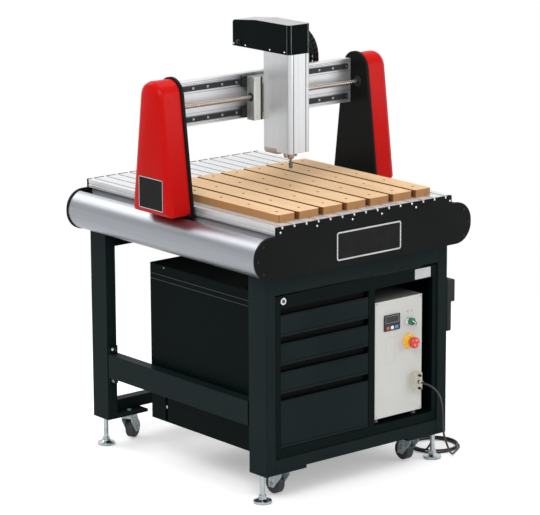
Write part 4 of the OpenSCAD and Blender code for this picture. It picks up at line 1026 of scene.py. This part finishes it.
# Hand control's cable: from the plug down to a coil on the floor and up to the hand control
cableRoute = dict(
    diameter=0.007, exit=(0.255, -0.496, 0.301),
    drop=[(256, -510, 300), (262, -522, 296), (273, -529, 287), (290, -528, 272), (310, -521, 250),
          (329, -510, 225), (345, -498, 196), (355, -490, 165), (361, -485, 135), (367, -482, 108),
          (376, -479, 82), (389, -475, 58), (403, -470, 37), (418, -462, 20), (434, -453, 9),
          (452, -442, 4), (470, -431, 3.5)],
    rise=[(384, -374, 14), (389, -384, 24), (395, -392, 42), (401, -397, 64), (405, -400, 90),
          *((406, -401, z) for z in (120, 180, 240, 300, 360, 445))],
    coilCentre=(462, -335), coilRadius=86, coilStep=9, coilFlat=1.1, coilClimb=0.5,
    coilStart=302, coilLift=7.6, coilPoints=130, nearby=0.01, steps=6, roundness=4,
)


def smoothLine(points, steps):
    # Smooth curve through every point
    points = [Vector(p) for p in points]
    line = []
    for i in range(len(points) - 1):
        a, b, c = points[max(i - 1, 0)], points[i], points[i + 1]
        d = points[min(i + 2, len(points) - 1)]
        for s in range(steps):
            t = s / steps
            line.append(0.5 * (2 * b + (c - a) * t + (2 * a - 5 * b + 4 * c - d) * t * t
                               + (3 * b - a - 3 * c + d) * t ** 3))
    return line + [points[-1]]


def cablePoints(route):
    # The coil winds inwards on the floor, climbs over itself and winds outwards again
    flat, climb, thick = route["coilFlat"], route["coilClimb"], route["diameter"] * mm
    turns, near, count = 2 * flat + climb, route["nearby"], route["coilPoints"]
    cx, cy = route["coilCentre"]

    def coilPoint(t):
        r = route["coilRadius"] - route["coilStep"] * min(t, flat, turns - t)
        e = min(max((t - flat) / climb, 0), 1)
        a = radians(route["coilStart"] + 360 * t)
        z = thick / 2 + route["coilLift"] * e * e * (3 - 2 * e)
        return Vector((cx + r * cos(a), cy + r * sin(a), z))

    lead = (coilPoint(near) - coilPoint(0)).normalized()
    tail = (coilPoint(turns) - coilPoint(turns - near)).normalized()
    coil = [coilPoint(0) - thick * lead] + [coilPoint(turns * i / count) for i in range(count + 1)]
    coil.append(coilPoint(turns) + thick * tail)
    drop = smoothLine([Vector(route["exit"]) * mm] + route["drop"] + [coil[0]], route["steps"])
    rise = smoothLine([coil[-1]] + route["rise"], route["steps"])
    return [p / mm for p in drop[:-1] + coil + rise[1:]]


def makeCable(route):
    points = cablePoints(route)
    data = bpy.data.curves.new("controlCable", "CURVE")
    data.dimensions = "3D"
    data.bevel_depth = route["diameter"] / 2
    data.bevel_resolution = route["roundness"]
    data.use_fill_caps = True
    line = data.splines.new("POLY")
    line.points.add(len(points) - 1)
    for spot, p in zip(line.points, points):
        spot.co = (*p, 1)
    line.use_smooth = True
    data.materials.append(finishes["cableBlack"])
    cable = addObject("controlCable", data)
    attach(cable, "stand")
    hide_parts("cord_drop", "cord_coil", "cord_rise")


makeCable(cableRoute)

# Floor, world and lamps
stageSetup = dict(
    reach=30, drop=-0.0005, shade=0.90, rough=0.7, specular=0.1, glow=0.34, clear=(0.9, 2.4),
)
worldSetup = dict(fill=0.45, ceiling=0.45, backdrop=1.0, darkSide=(-0.5, 0, 1), rise=(0.38, 0.75))
lampSetup = dict(
    keyLamp=dict(place=(-3.6, -3.0, 4.2), aim=(0, 0, 0.9), size=2.6, watts=170),
    topLamp=dict(place=(0.4, 0.3, 4.6), aim=(0, 0, 0.9), size=3.2, watts=85),
    backLamp=dict(place=(-1.4, 3.4, 4.2), aim=(-0.3, 0, 0.9), size=3.0, watts=95),
    fillLamp=dict(place=(3.4, -4.2, 2.2), aim=(0, 0, 0.8), size=2.6, watts=70),
)


def makeStage(spec):
    # White floor that keeps the shadow near the object and clears to plain white further out
    r, mesh = spec["reach"], bpy.data.meshes.new("floor")
    mesh.from_pydata([(-r, -r, 0), (r, -r, 0), (r, r, 0), (-r, r, 0)], [], [(0, 1, 2, 3)])
    floor = addObject("floor", mesh)
    floor.location.z = spec["drop"]
    mat, tree, shader = newMaterial("floorWhite")
    mesh.materials.append(mat)
    seen = addNode(tree, "LightPath", {})
    setInputs(tree, shader, {
        "Base Color": (spec["shade"],) * 3, "Roughness": spec["rough"], "Specular IOR Level": spec["specular"],
        "Emission Color": (1, 1, 1),
        "Emission Strength": mathNode(tree, "MULTIPLY", seen["Is Camera Ray"], spec["glow"])})
    shown = mathNode(tree, "ADD", seen["Is Camera Ray"], seen["Is Glossy Ray"], True)
    shown = mathNode(tree, "ADD", shown, seen["Is Transmission Ray"], True)
    away = addNode(tree, "VectorMath", {0: placeIn(tree)}, operation="LENGTH")["Value"]
    clear = mathNode(tree, "MULTIPLY", spread(tree, away, 0, 1, *spec["clear"]), shown)
    white = addNode(tree, "Emission", {"Strength": 1})[0]
    mix = addNode(tree, "MixShader", {"Fac": clear, 1: shader.outputs[0], 2: white})[0]
    setInputs(tree, tree.nodes["Material Output"], {"Surface": mix})


def makeWorld(spec):
    # White backdrop for the camera; metal sees it too, with a darker ceiling up on the left
    scene.world = bpy.data.worlds.new("studio")
    scene.world.use_nodes = True
    tree = scene.world.node_tree
    path = addNode(tree, "LightPath", {})
    towards = addNode(tree, "VectorMath", {0: placeIn(tree, "Generated"), 1: spec["darkSide"]},
                      operation="DOT_PRODUCT")
    level, backdrop = spec["fill"], spec["backdrop"]
    glossy = spread(tree, towards["Value"], backdrop, spec["ceiling"], *spec["rise"])
    for label, value in (("Glossy", glossy), ("Transmission", backdrop), ("Camera", backdrop)):
        level = mixValues(tree, path["Is %s Ray" % label], level, value, "FLOAT")
    setInputs(tree, tree.nodes["Background"], {"Color": (1, 1, 1), "Strength": level})


def makeLamps(setup):
    for name, spec in setup.items():
        data = bpy.data.lights.new(name, "AREA")
        data.size = spec["size"]
        data.energy = spec["watts"]
        lamp = addObject(name, data)
        lamp.location = spec["place"]
        lamp.rotation_euler = (Vector(spec["aim"]) - Vector(spec["place"])).to_track_quat("-Z", "Y").to_euler()


makeStage(stageSetup)
makeWorld(worldSetup)
makeLamps(lampSetup)
scene.view_settings.view_transform = "Standard"
print("stage set")
